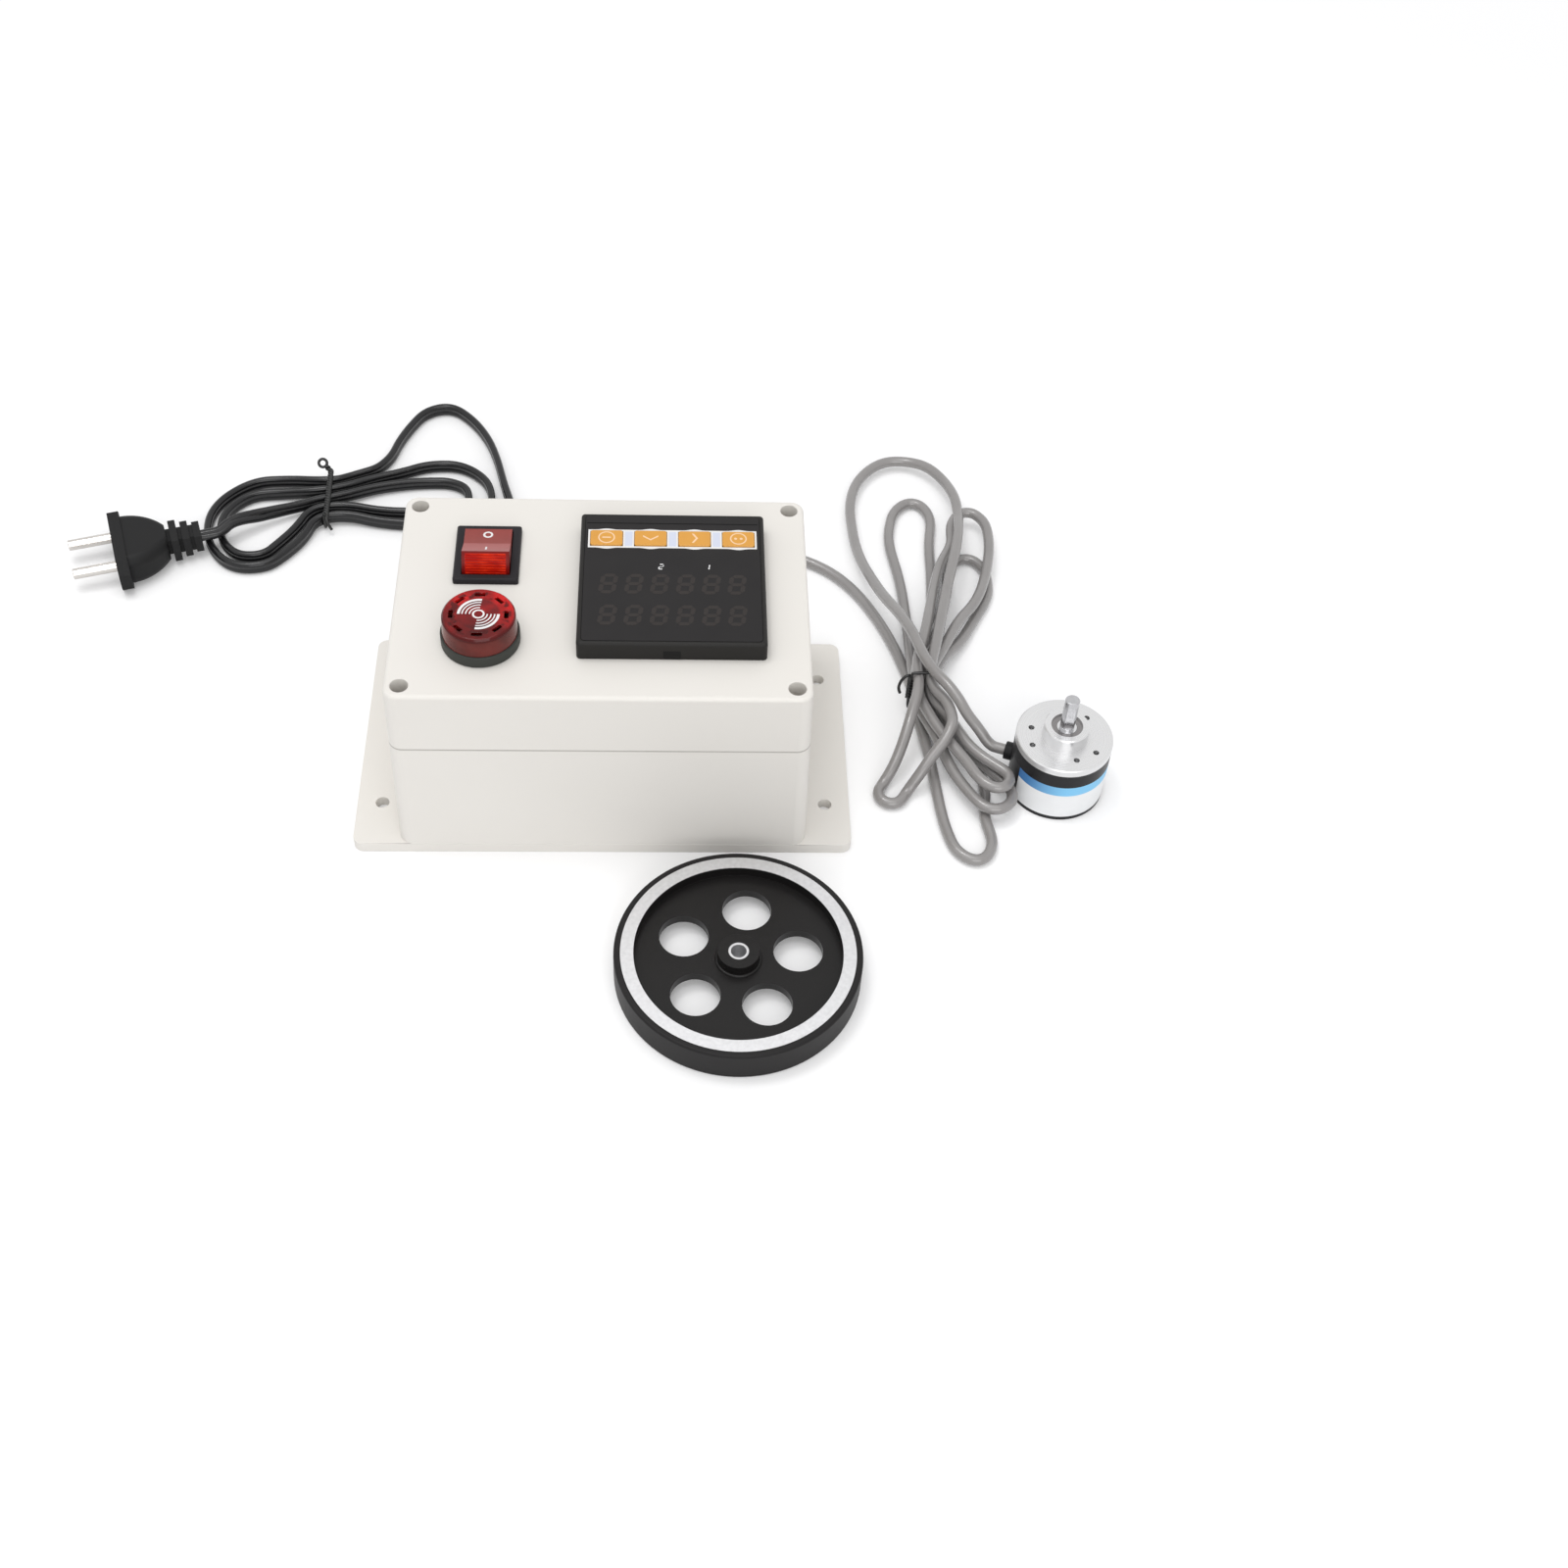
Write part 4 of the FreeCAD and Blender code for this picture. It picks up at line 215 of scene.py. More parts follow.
scene = bpy.context.scene
scene.view_settings.view_transform = "Standard"
scene.world = bpy.data.worlds.new("studio")
scene.world.use_nodes = True
sky = Nodes(scene.world.node_tree, "Background")
sky.set("Color", WHITE)
sky.set("Strength", sky.background_rays().ramp(0.0, 1.0, WORLD_GLOW, 1.0))
for name, place, size, watts in LAMPS:
    lamp_data = bpy.data.lights.new(name, "AREA")
    lamp_data.size = size
    lamp_data.energy = watts
    lamp = bpy.data.objects.new(name, lamp_data)
    lamp.location = place
    lamp.rotation_euler = (-Vector(place)).to_track_quat("-Z", "Y").to_euler()
    scene.collection.objects.link(lamp)

camera_data = bpy.data.cameras.new("camera")
camera_data.sensor_width = SENSOR
camera_data.lens = SENSOR * FOCAL_PIXELS / FRAME_PIXELS
camera_data.clip_start = 0.01
camera = bpy.data.objects.new("camera", camera_data)
camera.matrix_world = (Matrix.Translation(Vector(CAMERA_PLACE) * MM)
                       @ Matrix.Rotation(math.radians(-CAMERA_YAW), 4, "Z")
                       @ Matrix.Rotation(math.radians(90 - CAMERA_PITCH), 4, "X")
                       @ Matrix.Rotation(math.radians(CAMERA_ROLL), 4, "Z"))
scene.collection.objects.link(camera)
scene.camera = camera

# Mains plug: black rubber moulded round the end of the cord, with a flat eight-sided flange, a
# tapered body and a relief of blocky ribs. Two nickel-plated round pins stand out of its face.
WELD = 0.002 * MM
FLAT_ANGLE = 1.5
CREASE_ANGLE = 38


def only(piece):
    """Selects one piece and makes it the active one."""
    bpy.ops.object.select_all(action="DESELECT")
    piece.select_set(True)
    bpy.context.view_layer.objects.active = piece


def dressed(piece, finish, body="counter", smooth=35):
    """Gives a piece its finish and the body that it rides on."""
    if smooth is not None:
        only(piece)
        bpy.ops.object.shade_smooth_by_angle(angle=math.radians(smooth))
    piece.data.materials.clear()
    piece.data.materials.append(finish.material)
    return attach(piece, body)


def softened(node, width, finish, body="counter", steps=2):
    """A copy of a CAD piece, with its sharp edges rounded by so many millimetres, that stands for it."""
    made = bpy.data.objects.new(node + "_finished", nodes[node].data.copy())
    scene.collection.objects.link(made)
    only(made)
    bpy.ops.mesh.customdata_custom_splitnormals_clear()
    bpy.ops.object.mode_set(mode="EDIT")
    bpy.ops.mesh.select_all(action="SELECT")
    bpy.ops.mesh.remove_doubles(threshold=WELD)
    bpy.ops.mesh.dissolve_limited(angle_limit=math.radians(FLAT_ANGLE))
    bpy.ops.object.mode_set(mode="OBJECT")
    bpy.ops.object.shade_smooth_by_angle(angle=math.radians(CREASE_ANGLE))
    rounding = made.modifiers.new("rounding", "BEVEL")
    rounding.width = width * MM
    rounding.segments = steps
    rounding.limit_method = "ANGLE"
    rounding.angle_limit = math.radians(CREASE_ANGLE)
    shading = made.modifiers.new("shading", "WEIGHTED_NORMAL")
    shading.keep_sharp = True
    for modifier in (rounding.name, shading.name):
        bpy.ops.object.modifier_apply(modifier=modifier)
    dressed(made, finish, body, smooth=None)
    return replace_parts(made, node)


def moulded(name, colour, roughness=0.45, shade=0.85, cloud=30.0, grain=1100.0, relief=0.02, gloss=0.17):
    """Moulded plastic or rubber: cloudy in colour and gloss, with the fine grain of its mould."""
    finish = Finish(name, Specular_IOR_Level=gloss)
    clouds = finish.noise(cloud, detail=3.0)
    finish.vary(clouds, tuple(shade * part for part in colour), colour, 0.12, roughness - 0.06)
    finish.bump(finish.noise(grain), relief * MM, 0.35)
    return finish


def plated(name, colour, roughness=0.3, scratches=160.0):
    """Bare or plated metal: its gloss varies in fine streaks."""
    finish = Finish(name, Metallic=1.0)
    streaks = finish.noise(scratches, detail=4.0, stretch=(1, 1, 6))
    finish.vary(streaks, tuple(0.82 * part for part in colour), colour, 0.22, roughness - 0.11)
    finish.bump(streaks, 0.01 * MM, 0.4)
    return finish


plug_rubber = moulded("plug_rubber", (0.0125, 0.0125, 0.013), 0.5, cloud=90.0, grain=900.0,
                      relief=0.04)
plug_moulding = softened("mains_plug", 0.7, plug_rubber)
nickel = plated("nickel_plate", (0.68, 0.65, 0.62), 0.24)
plug_prongs = softened("plug_pins", 0.5, nickel, steps=3)

# Mains cord: a flat twin lead in a glossy black sheath, 0.9 m long. It leaves its relief behind
# the box, makes one wide loop on the table and lies folded in five strands up to the plug.
MAINS_WIDTH = 6.2 * MM
CORE_RADIUS = 1.7 * MM
GROOVE_HALF_HEIGHT = 1.2 * MM
LOBE_STEPS = 9
LOBE_HALF_ANGLE = 124
MAINS_LIFT = 0.6
MAINS_ROUTE = [(-45, 89, 24), (-44.6, 103, 15), (-44, 117, 5), (-45, 132, 2.6), (-48.5, 147, 2.6),
               (-52.5, 162, 2.6), (-56, 177, 2.6), (-61, 191.5, 2.6), (-69, 205, 2.6), (-80, 215.5, 2.6),
               (-92.5, 211.5, 2.6), (-99, 199.5, 2.6), (-103.4, 188.2, 2.6), (-105.6, 178.6, 2.6),
               (-109.6, 171.5, 2.8), (-113.1, 167.65, 3.2)]
MAINS_JOIN = (-117.3, 165.6, 3.2)
MAINS_JOIN_HEADING = 206
MAINS_TURNS = [
    (-132, 159, 3.9, 184), (-157, 160, 2.6, 185), (-184.3, 130, 2.6, 270), (-161.5, 102.4, 2.6, 0),
    (-143.2, 117, 2.8, 57), (-130.5, 134.7, 3.9, 12), (-98, 132, 2.6, -3), (-57, 149, 2.6, 90),
    (-81, 172.5, 2.6, 180), (-106, 164, 3.0), (-132, 153, 3.9, 192), (-160, 151, 2.6, 186),
    (-178.3, 129, 2.6, 270), (-162, 109.2, 2.6, 0), (-148.4, 121.3, 2.8, 57), (-132, 141, 3.9, 10),
    (-98, 139.5, 2.6, 0), (-67.5, 150, 2.6, 90), (-81, 160.5, 2.6, 180), (-104, 157.5, 3.0),
    (-132, 147, 3.9, 195), (-145, 141, 4.5), (-159.5, 133.5, 6.4), (-170.5, 126.5, 8.8)]
PLUG_HEADING = 197
PLUG_FACE = Vector((-221.0, 105.6, 9.0))
PLUG_LENGTH = 38.0
STRAIGHT_SPREAD = 1e-6
STRAIGHT_RUN = 5.0
GLAND_X = 45.0
GLAND_HEIGHT = 24.0


def heading(degrees):
    """A level unit vector."""
    return Vector((math.cos(math.radians(degrees)), math.sin(math.radians(degrees)), 0.0))


def straight(start, degrees):
    """Two stations of a short straight run from a point along a heading."""
    return [(*start, degrees), (*(Vector(start) + heading(degrees) * STRAIGHT_RUN), degrees)]


def turns_of(stations):
    """Control points of a line that passes each station: a point and, if it has one, a level
    heading in degrees."""
    spots = [Vector(station[:3]) for station in stations]
    ways = [heading(station[3]) if len(station) == 4 else (spots[index + 1] - spots[index - 1]).normalized()
            for index, station in enumerate(stations)]
    points = []
    for start, end, way_in, way_out in zip(spots, spots[1:], ways, ways[1:]):
        gap = end - start
        both = way_in + way_out
        spread = 4 - both.dot(both)
        along = gap.dot(both)
        if spread < STRAIGHT_SPREAD:
            points.append((start + end) / 2)
        else:
            reach = (math.sqrt(along ** 2 + spread * gap.dot(gap)) - along) / spread
            points += [start + way_in * reach, end - way_out * reach]
    return points + [spots[-1]]


def smooth_line(name, points):
    """An open smooth curve with these control points, given in millimetres."""
    data = bpy.data.curves.new(name, "CURVE")
    data.dimensions = "3D"
    data.resolution_u = 10
    line = data.splines.new("NURBS")
    line.points.add(len(points) - 1)
    for point, spot in zip(line.points, points):
        point.co = (*(Vector(spot) * MM), 1.0)
    line.order_u = 3
    line.use_endpoint_u = True
    made = bpy.data.objects.new(name, data)
    scene.collection.objects.link(made)
    return made


def path_along(line):
    """Points read from a curve, which is then removed."""
    bpy.context.view_layer.update()
    depsgraph = bpy.context.evaluated_depsgraph_get()
    mesh = bpy.data.meshes.new_from_object(line.evaluated_get(depsgraph))
    path = [vertex.co.copy() for vertex in mesh.vertices]
    bpy.data.objects.remove(line)
    bpy.data.meshes.remove(mesh)
    return path


def along_path(name, path, section, lean):
    """A closed tube along a path. Its section's first axis stands up and leans by so many degrees."""
    shape = bmesh.new()
    rings = []
    for index, spot in enumerate(path):
        ahead = (path[min(index + 1, len(path) - 1)] - path[max(index - 1, 0)]).normalized()
        side = ahead.cross(Vector((0, 0, 1))).normalized()
        tilt = math.radians(lean(index / (len(path) - 1)))
        tall = side.cross(ahead) * math.cos(tilt) + side * math.sin(tilt)
        wide = ahead.cross(tall)
        rings.append([shape.verts.new(spot + tall * u + wide * v) for u, v in section])
    for first, second in zip(rings, rings[1:]):
        for corner in range(len(section)):
            shape.faces.new((first[corner - 1], first[corner], second[corner], second[corner - 1]))
    shape.faces.new(rings[0])
    shape.faces.new(rings[-1])
    bmesh.ops.recalc_face_normals(shape, faces=shape.faces)
    mesh = bpy.data.meshes.new(name)
    shape.to_mesh(mesh)
    shape.free()
    made = bpy.data.objects.new(name, mesh)
    scene.collection.objects.link(made)
    return made


def ease(value, low, high):
    """Runs smoothly from 0 to 1 while a value runs from low to high."""
    share = min(max((value - low) / (high - low), 0.0), 1.0)
    return share * share * (3 - 2 * share)


plug_way = heading(PLUG_HEADING)
plug_end = PLUG_FACE - plug_way * PLUG_LENGTH
mains_exit = Vector((-GLAND_X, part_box("mains_gland")[1].y / MM, GLAND_HEIGHT))
mains_turns = turns_of(straight(MAINS_JOIN, MAINS_JOIN_HEADING) + MAINS_TURNS
                       + straight(plug_end - plug_way * STRAIGHT_RUN, PLUG_HEADING))
mains_points = [Vector(spot) for spot in (mains_exit, *MAINS_ROUTE, MAINS_JOIN, *mains_turns)]
for point in mains_points[4:-3]:
    point.z += MAINS_LIFT
mains_path = path_along(smooth_line("mains_line", mains_points))
core_offset = MAINS_WIDTH / 2 - CORE_RADIUS
twin_section = []
for side in (1, -1):
    for step in range(LOBE_STEPS):
        angle = math.radians(LOBE_HALF_ANGLE * (2 * step / (LOBE_STEPS - 1) - 1))
        twin_section.append((side * (core_offset + CORE_RADIUS * math.cos(angle)),
                             side * CORE_RADIUS * math.sin(angle)))
    twin_section.append((0.0, side * GROOVE_HALF_HEIGHT))
mains_lead = along_path("mains_lead", mains_path, twin_section,
                        lambda share: 90 - 90 * ease(share, 0.02, 0.08) + 90 * ease(share, 0.9, 0.97))
mains_sheath = Finish("mains_sheath", (0.01, 0.01, 0.011), Specular_IOR_Level=0.4)
sheath_haze = mains_sheath.noise(220.0, detail=3.0)
mains_sheath.set("Roughness", sheath_haze * 0.12 + 0.12)
mains_sheath.bump(mains_sheath.noise(900.0), 0.06 * MM, 0.5)
dressed(mains_lead, mains_sheath, smooth=50)
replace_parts(mains_lead, "mains_cord", "mains_hank")

# Signal cable: a round grey lead, 1.9 m long, from its relief behind the box to the encoder. Its
# middle is folded into four uneven loops each way, two columns of strands through one wire tie.
SIGNAL_WIDTH = 4.8 * MM
SIGNAL_ROUTE = [(45, 90, 24), (47.5, 103, 15), (54, 113, 5), (68, 118.5, 2.5), (85, 113.5, 2.5),
                (99, 105, 2.5), (110, 92, 2.5), (118.5, 75.5, 2.5), (124.8, 58.5, 2.5)]
SIGNAL_JOIN = (128.6, 44, 2.5)
SIGNAL_JOIN_HEADING = -76
SIGNAL_WAIST = (134.5, 23)
SIGNAL_WAIST_FOOT = 3.6
SIGNAL_LAYER_STEP = 5.3
SIGNAL_COLUMN_STEP = 2.7


def end_turn(x, y, wide, reach, way, height):
    """Three stations round the end of a loop: in, at the tip that points the given way, and out."""
    side = heading(way - 90) * wide
    middle = Vector((x, y, height))
    return [(*(middle + side), way), (*(middle + heading(way) * reach), way + 90),
            (*(middle - side), way + 180)]


def oval_end(x, y, wide, reach, way, height, first=None, last=None):
    """Five stations round a long oval end of a loop, from one flank over the tip to the other."""
    side = heading(way - 90)
    ahead = heading(way)
    first = height if first is None else first
    last = height if last is None else last
    heights = (first, (first + height) / 2, height, (height + last) / 2, last)
    stations = []
    for eighth, rise in enumerate(heights):
        turn = math.radians(45 * eighth)
        spot = Vector((x, y, rise)) + side * (wide * math.cos(turn)) + ahead * (reach * math.sin(turn))
        lean = math.degrees(math.atan2(wide * math.sin(turn), reach * math.cos(turn)))
        stations.append((spot.x, spot.y, rise, way + lean))
    return stations


def middle_of(node):
    """The middle of a CAD piece, in millimetres."""
    low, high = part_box(node)
    return (low + high) / 2 / MM


NEAR_LOOPS = [
    [(136, -10, 2.6, 275), *oval_end(149.0, -48.5, 8.6, 13.5, -78, 2.6), (156.5, -16, 2.6), (147, 3, 2.6)],
    [(139, -3, 8.8), (145, -21, 7.9), *end_turn(159.8, -31.5, 7.8, 8, -55, 7.9), (156, -13.5, 7.9),
     (146.5, 4.5, 8.3)],
    [(136.8, 4, 14.2), (147, -14.5, 13.4), *end_turn(161, -27.3, 5.3, 5.3, -42, 13.3), (153, -12, 13.3),
     (145.8, 1.5, 13.8)],
    [(127.3, 3, 17), (120.5, -14, 8), *end_turn(118.2, -27, 5.3, 5.3, -120, 2.6), (132.5, -19, 11.5),
     (142.8, -6.5, 19.9), (143.6, 4, 20.6)]]
FAR_LOOPS = [
    [(144.2, 90, 2.6), *oval_end(137.8, 135.0, 9.5, 16.6, 81, 2.6), (131.0, 88, 3.0)],
    [(143.3, 42, 7.8), (158, 66, 3.4), *oval_end(161.4, 98.5, 9.3, 15.5, 87, 2.6), (146.5, 71, 8.3)],
    [(150, 58, 11.5), (166, 88, 8.4), *oval_end(164.2, 125.0, 8.6, 14.5, 89, 8.1), (147, 97, 9.9),
     (139.3, 62, 15.9)],
    [(142.8, 52, 18.5), (148.5, 78, 16.2), (157.2, 116, 13.8),
     *oval_end(134.8, 141.0, 24.8, 37.5, 91, 5, 9.5, 4.5), (111.8, 113, 7), (118, 84, 14), (129, 50, 23.5),
     (136, 24.5, 26.2), (145.0, 9.5, 25.4), (153.0, -1.5, 19.0)]]
signal_exit = Vector((GLAND_X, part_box("signal_gland")[1].y / MM, GLAND_HEIGHT))
encoder_middle = middle_of("encoder_cover")
ENCODER_GLAND_HEADING = 160
ENCODER_GLAND_HEIGHT = 12.0
ENCODER_GLAND_REACH = 23.0
ENCODER_LEAD_IN = 2.5
signal_stations = straight(SIGNAL_JOIN, SIGNAL_JOIN_HEADING)
for layer, (near_loop, far_loop) in enumerate(zip(NEAR_LOOPS, FAR_LOOPS)):
    layer_height = SIGNAL_WAIST_FOOT + layer * SIGNAL_LAYER_STEP
    signal_stations.append((SIGNAL_WAIST[0] - SIGNAL_COLUMN_STEP, SIGNAL_WAIST[1], layer_height, -88))
    signal_stations += near_loop
    signal_stations.append((SIGNAL_WAIST[0] + SIGNAL_COLUMN_STEP, SIGNAL_WAIST[1], layer_height, 88))
    signal_stations += far_loop
gland_way = heading(ENCODER_GLAND_HEADING)
for gland_reach in (ENCODER_GLAND_REACH + ENCODER_LEAD_IN, ENCODER_GLAND_REACH):
    spot = encoder_middle + gland_way * gland_reach
    signal_stations.append((spot.x, spot.y, ENCODER_GLAND_HEIGHT, ENCODER_GLAND_HEADING + 180))
signal_lead = smooth_line("signal_lead", [signal_exit, *SIGNAL_ROUTE, SIGNAL_JOIN,
                                          *turns_of(signal_stations)])
signal_lead.data.bevel_depth = SIGNAL_WIDTH / 2
signal_lead.data.bevel_resolution = 5
signal_lead.data.use_fill_caps = True
signal_sheath = Finish("signal_sheath", Specular_IOR_Level=0.6, Coat_Weight=0.5, Coat_Roughness=0.12)
sheath_cloud = signal_sheath.noise(60.0, detail=3.0)
signal_sheath.vary(sheath_cloud, (0.21, 0.2, 0.196), (0.28, 0.268, 0.263), 0.1, 0.2)
signal_sheath.bump(signal_sheath.noise(1400.0), 0.04 * MM, 0.4)
dressed(signal_lead, signal_sheath, smooth=None)
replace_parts(signal_lead, "signal_cable", "signal_hank")

# Wire ties: black sheathed wire, pulled round the waist of each hank by hand. The mains cord's tie
# is twisted across the top of the bundle and ends in a small loop; the cable's ends in a hook.
TIE_WIRE = 0.66
TWIST_RADIUS = 0.75
TWIST_PITCH = 3.4
TWIST_STEPS = 8
TIE_LOOP_RADIUS = 1.9


def wire(name, points):
    """A length of tie wire along control points, as a mesh."""
    made = smooth_line(name, points)
    made.data.bevel_depth = TIE_WIRE * MM
    made.data.bevel_resolution = 3
    made.data.use_fill_caps = True
    only(made)
    bpy.ops.object.convert(target="MESH")
    return bpy.context.object


def twisted_pair(name, start, end):
    """Two wires wound round each other from one point to another."""
    way = (end - start).normalized()
    side = way.cross(Vector((0, 0, 1))).normalized()
    up = side.cross(way)
    count = round((end - start).length / TWIST_PITCH * TWIST_STEPS)
    pair = []
    for strand in range(2):
        points = []
        for step in range(count + 1):
            angle = 2 * math.pi * step / TWIST_STEPS + math.pi * strand
            offset = (side * math.cos(angle) + up * math.sin(angle)) * TWIST_RADIUS
            points.append(start.lerp(end, step / count) + offset)
        pair.append(wire(f"{name}_{strand}", points))
    return pair


def joined(name, parts):
    """Several meshes as one piece."""
    only(parts[0])
    for part in parts[1:]:
        part.select_set(True)
    bpy.ops.object.join()
    made = bpy.context.object
    made.name = name
    return made


def ring_of(middle, radius, across, up, start, sweep, steps):
    """Points round an arc in the plane of two vectors."""
    turns = [start + sweep * step / steps for step in range(steps + 1)]
    return [middle + (across * math.cos(turn) + up * math.sin(turn)) * radius for turn in turns]


tie_finish = Finish("tie_sheath", (0.012, 0.012, 0.012))
tie_cloud = tie_finish.noise(500.0, detail=2.0)
tie_finish.set("Roughness", tie_cloud * 0.2 + 0.3)
tie_finish.bump(tie_cloud, 0.05 * MM, 0.5)

tie_x = middle_of("mains_tie").x
waist_top = 8.5
waist_foot = 0.65
waist_near = 131.6
waist_far = 162.4
around_waist = wire("mains_tie_band", [(tie_x, y, z) for y, z in (
    (waist_far - 2, waist_top), (waist_far, waist_top - 0.4), (waist_far + 0.4, 4.5),
    (waist_far, waist_foot + 0.1), (waist_far - 3, waist_foot), (waist_near + 3, waist_foot),
    (waist_near, waist_foot + 0.1), (waist_near - 0.4, 4.5), (waist_near, waist_top - 0.4),
    (waist_near + 2, waist_top))])
top_twist = twisted_pair("mains_tie_twist", Vector((tie_x, waist_far, waist_top)),
                         Vector((tie_x + 1.0, waist_near - 0.5, waist_top)))
tail_end = Vector((tie_x - 2.2, waist_far + 1.0, waist_top + 1.9))
tail_twist = twisted_pair("mains_tie_tail", Vector((tie_x, waist_far - 0.5, waist_top)), tail_end)
tail_way = (tail_end - Vector((tie_x, waist_far, waist_top))).normalized()
loop_across = tail_way.cross(Vector((0, -0.6, 0.8))).normalized()
tail_loop = wire("mains_tie_loop", ring_of(tail_end + tail_way * TIE_LOOP_RADIUS, TIE_LOOP_RADIUS,
                                           loop_across, tail_way, -math.pi / 2, 2 * math.pi, 14))
tail_hook = wire("mains_tie_hook", [
    (tie_x + 1.0, waist_near + 1, waist_top - 0.2), (tie_x + 1.2, waist_near - 1.5, waist_top - 1),
    (tie_x + 2.2, waist_near - 3.2, waist_top - 3), (tie_x + 3.4, waist_near - 3.4, waist_top - 5.5)])
mains_twist_tie = joined("mains_twist_tie",
                         [around_waist, *top_twist, *tail_twist, tail_loop, tail_hook])
dressed(mains_twist_tie, tie_finish, smooth=60)
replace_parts(mains_twist_tie, "mains_tie")

BAND_IN = 0.45
BAND_CORNER = 1.2
tie_low, tie_high = (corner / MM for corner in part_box("signal_tie"))
tie_y = (tie_low.y + tie_high.y) / 2
left, right = tie_low.x + BAND_IN, tie_high.x - BAND_IN
foot, top = tie_low.z + BAND_IN, tie_high.z - BAND_IN
mid_width, mid_height = (left + right) / 2, (foot + top) / 2
signal_band = wire("signal_tie_band", [(x, tie_y, z) for x, z in (
    (mid_width, top), (left + BAND_CORNER, top), (left, top - BAND_CORNER), (left, mid_height),
    (left, foot + BAND_CORNER), (left + BAND_CORNER, foot), (mid_width, foot),
    (right - BAND_CORNER, foot), (right, foot + BAND_CORNER), (right, mid_height),
    (right, top - BAND_CORNER), (right - BAND_CORNER, top), (mid_width, top))])
signal_hook = wire("signal_tie_hook", [
    (left, tie_y + 0.8, top - 3), (left - 0.9, tie_y + 0.6, top - 2), (left - 2.6, tie_y + 0.2, top - 2.6),
    (left - 4.4, tie_y - 0.6, top - 5), (left - 5.2, tie_y - 1.4, top - 8.5),
    (left - 4.2, tie_y - 2, top - 10.5)])
signal_twist = twisted_pair("signal_tie_twist", Vector((left, tie_y, top - 3)),
                            Vector((left - 0.2, tie_y - 0.4, foot + 7)))
signal_wire_tie = joined("signal_wire_tie", [signal_band, signal_hook, *signal_twist])
dressed(signal_wire_tie, tie_finish, smooth=60)
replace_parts(signal_wire_tie, "signal_tie")

# Box base: a drafted tub with two screw ears, injection moulded in warm white plastic. Its edges
# are as soft as the mould leaves them, and its walls carry a faint grain.
BOX_WHITE = (0.765, 0.742, 0.705)
BOX_SHADE = (0.735, 0.71, 0.668)
SEAM_HEIGHT = 61.0
SEAM_SHADOW_COLOUR = (0.5, 0.48, 0.45)


def kept(finish, *names):
    """Gives CAD pieces that stay as they are their finish."""
    for name in names:
        for place in nodes[name].material_slots:
            place.material = finish.material


box_plastic = Finish("box_plastic", Specular_IOR_Level=0.3)
box_cloud = box_plastic.noise(14.0, detail=4.0)
# Darker along the parting line between base and lid: painted shade in the seam's groove.
seam_groove_shadow = (box_plastic.axes()[2] - SEAM_HEIGHT * MM).absolute().edge(0.4, -0.15)
box_plastic.set("Base Color", seam_groove_shadow.mix(box_cloud.mix(BOX_SHADE, BOX_WHITE), SEAM_SHADOW_COLOUR))
box_plastic.set("Roughness", box_cloud * 0.12 + 0.42)
box_plastic.bump(box_plastic.noise(1300.0, detail=3.0), 0.03 * MM, 0.3)
softened("box_base", 0.6, box_plastic)

# Box lid: the deep upper half in the same plastic, with four bored corners for its screws and
# openings for the meter, the switch and the sounder. It closes on a grey rubber seal in the base.
softened("box_lid", 0.5, box_plastic)
kept(moulded("grey_rubber", (0.16, 0.16, 0.165), 0.7), "lid_seal")

# Lid screws: slotted pan heads in zinc-plated steel, deep in the corner bores, each in a knurled
# brass insert that is pressed into a post of the base.
zinc = plated("zinc_plate", (0.62, 0.62, 0.6))
brass = plated("brass", (0.72, 0.52, 0.22))
kept(zinc, "lid_screws")
kept(brass, "lid_inserts")

# Meter front: a black moulded frame with a bevelled edge and a latch notch, and a smoked film that
# its displays lie behind. It is fitted upside down, with its top towards the front of the box.
METER_PLACE = middle_of("meter_film")
FILM_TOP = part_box("meter_film")[1].z / MM
FILM_MIDDLE = (METER_PLACE.x, METER_PLACE.y, FILM_TOP)
PRINT_THICKNESS = 0.03
frame_plastic = moulded("meter_plastic", (0.018, 0.017, 0.016), 0.45)
softened("meter_frame", 0.3, frame_plastic)
film_finish = Finish("smoked_film", Specular_IOR_Level=0.19)
film_cloud = film_finish.noise(60.0, detail=3.0)
film_finish.vary(film_cloud, (0.013, 0.012, 0.0125), (0.018, 0.0165, 0.017), 0.1, 0.3)
kept(film_finish, "meter_film")


def arc_of(x, y, radius, start, end, steps):
    """Points round part of a circle, between two angles in degrees."""
    turns = [math.radians(start + (end - start) * step / steps) for step in range(steps + 1)]
    return [(x + radius * math.cos(turn), y + radius * math.sin(turn)) for turn in turns]


def circle_of(x, y, radius):
    """A closed round outline in millimetres."""
    return arc_of(x, y, radius, 0, 360, 40)[:-1]


def band_of(inner, outer, start, end):
    """The outline of part of a ring round the middle."""
    return arc_of(0, 0, outer, start, end, 20) + arc_of(0, 0, inner, end, start, 20)


def oblong(x, y, half_width, half_height):
    """A rectangle's outline."""
    return [(x - half_width, y - half_height), (x + half_width, y - half_height),
            (x + half_width, y + half_height), (x - half_width, y + half_height)]


def bar_of(start, end, width):
    """The outline of a straight stroke with pointed ends."""
    start, end = Vector(start), Vector(end)
    along = (end - start).normalized() * width / 2
    side = Vector((-along.y, along.x))
    corners = (start - along, start + side, end + side, end + along, end - side, start - side)
    return [tuple(corner) for corner in corners]


def placed(piece, matrix):
    """Moves a piece's mesh, and leaves its object at the origin."""
    piece.matrix_world = matrix
    only(piece)
    bpy.ops.object.transform_apply(location=True, rotation=True, scale=True)
    return piece


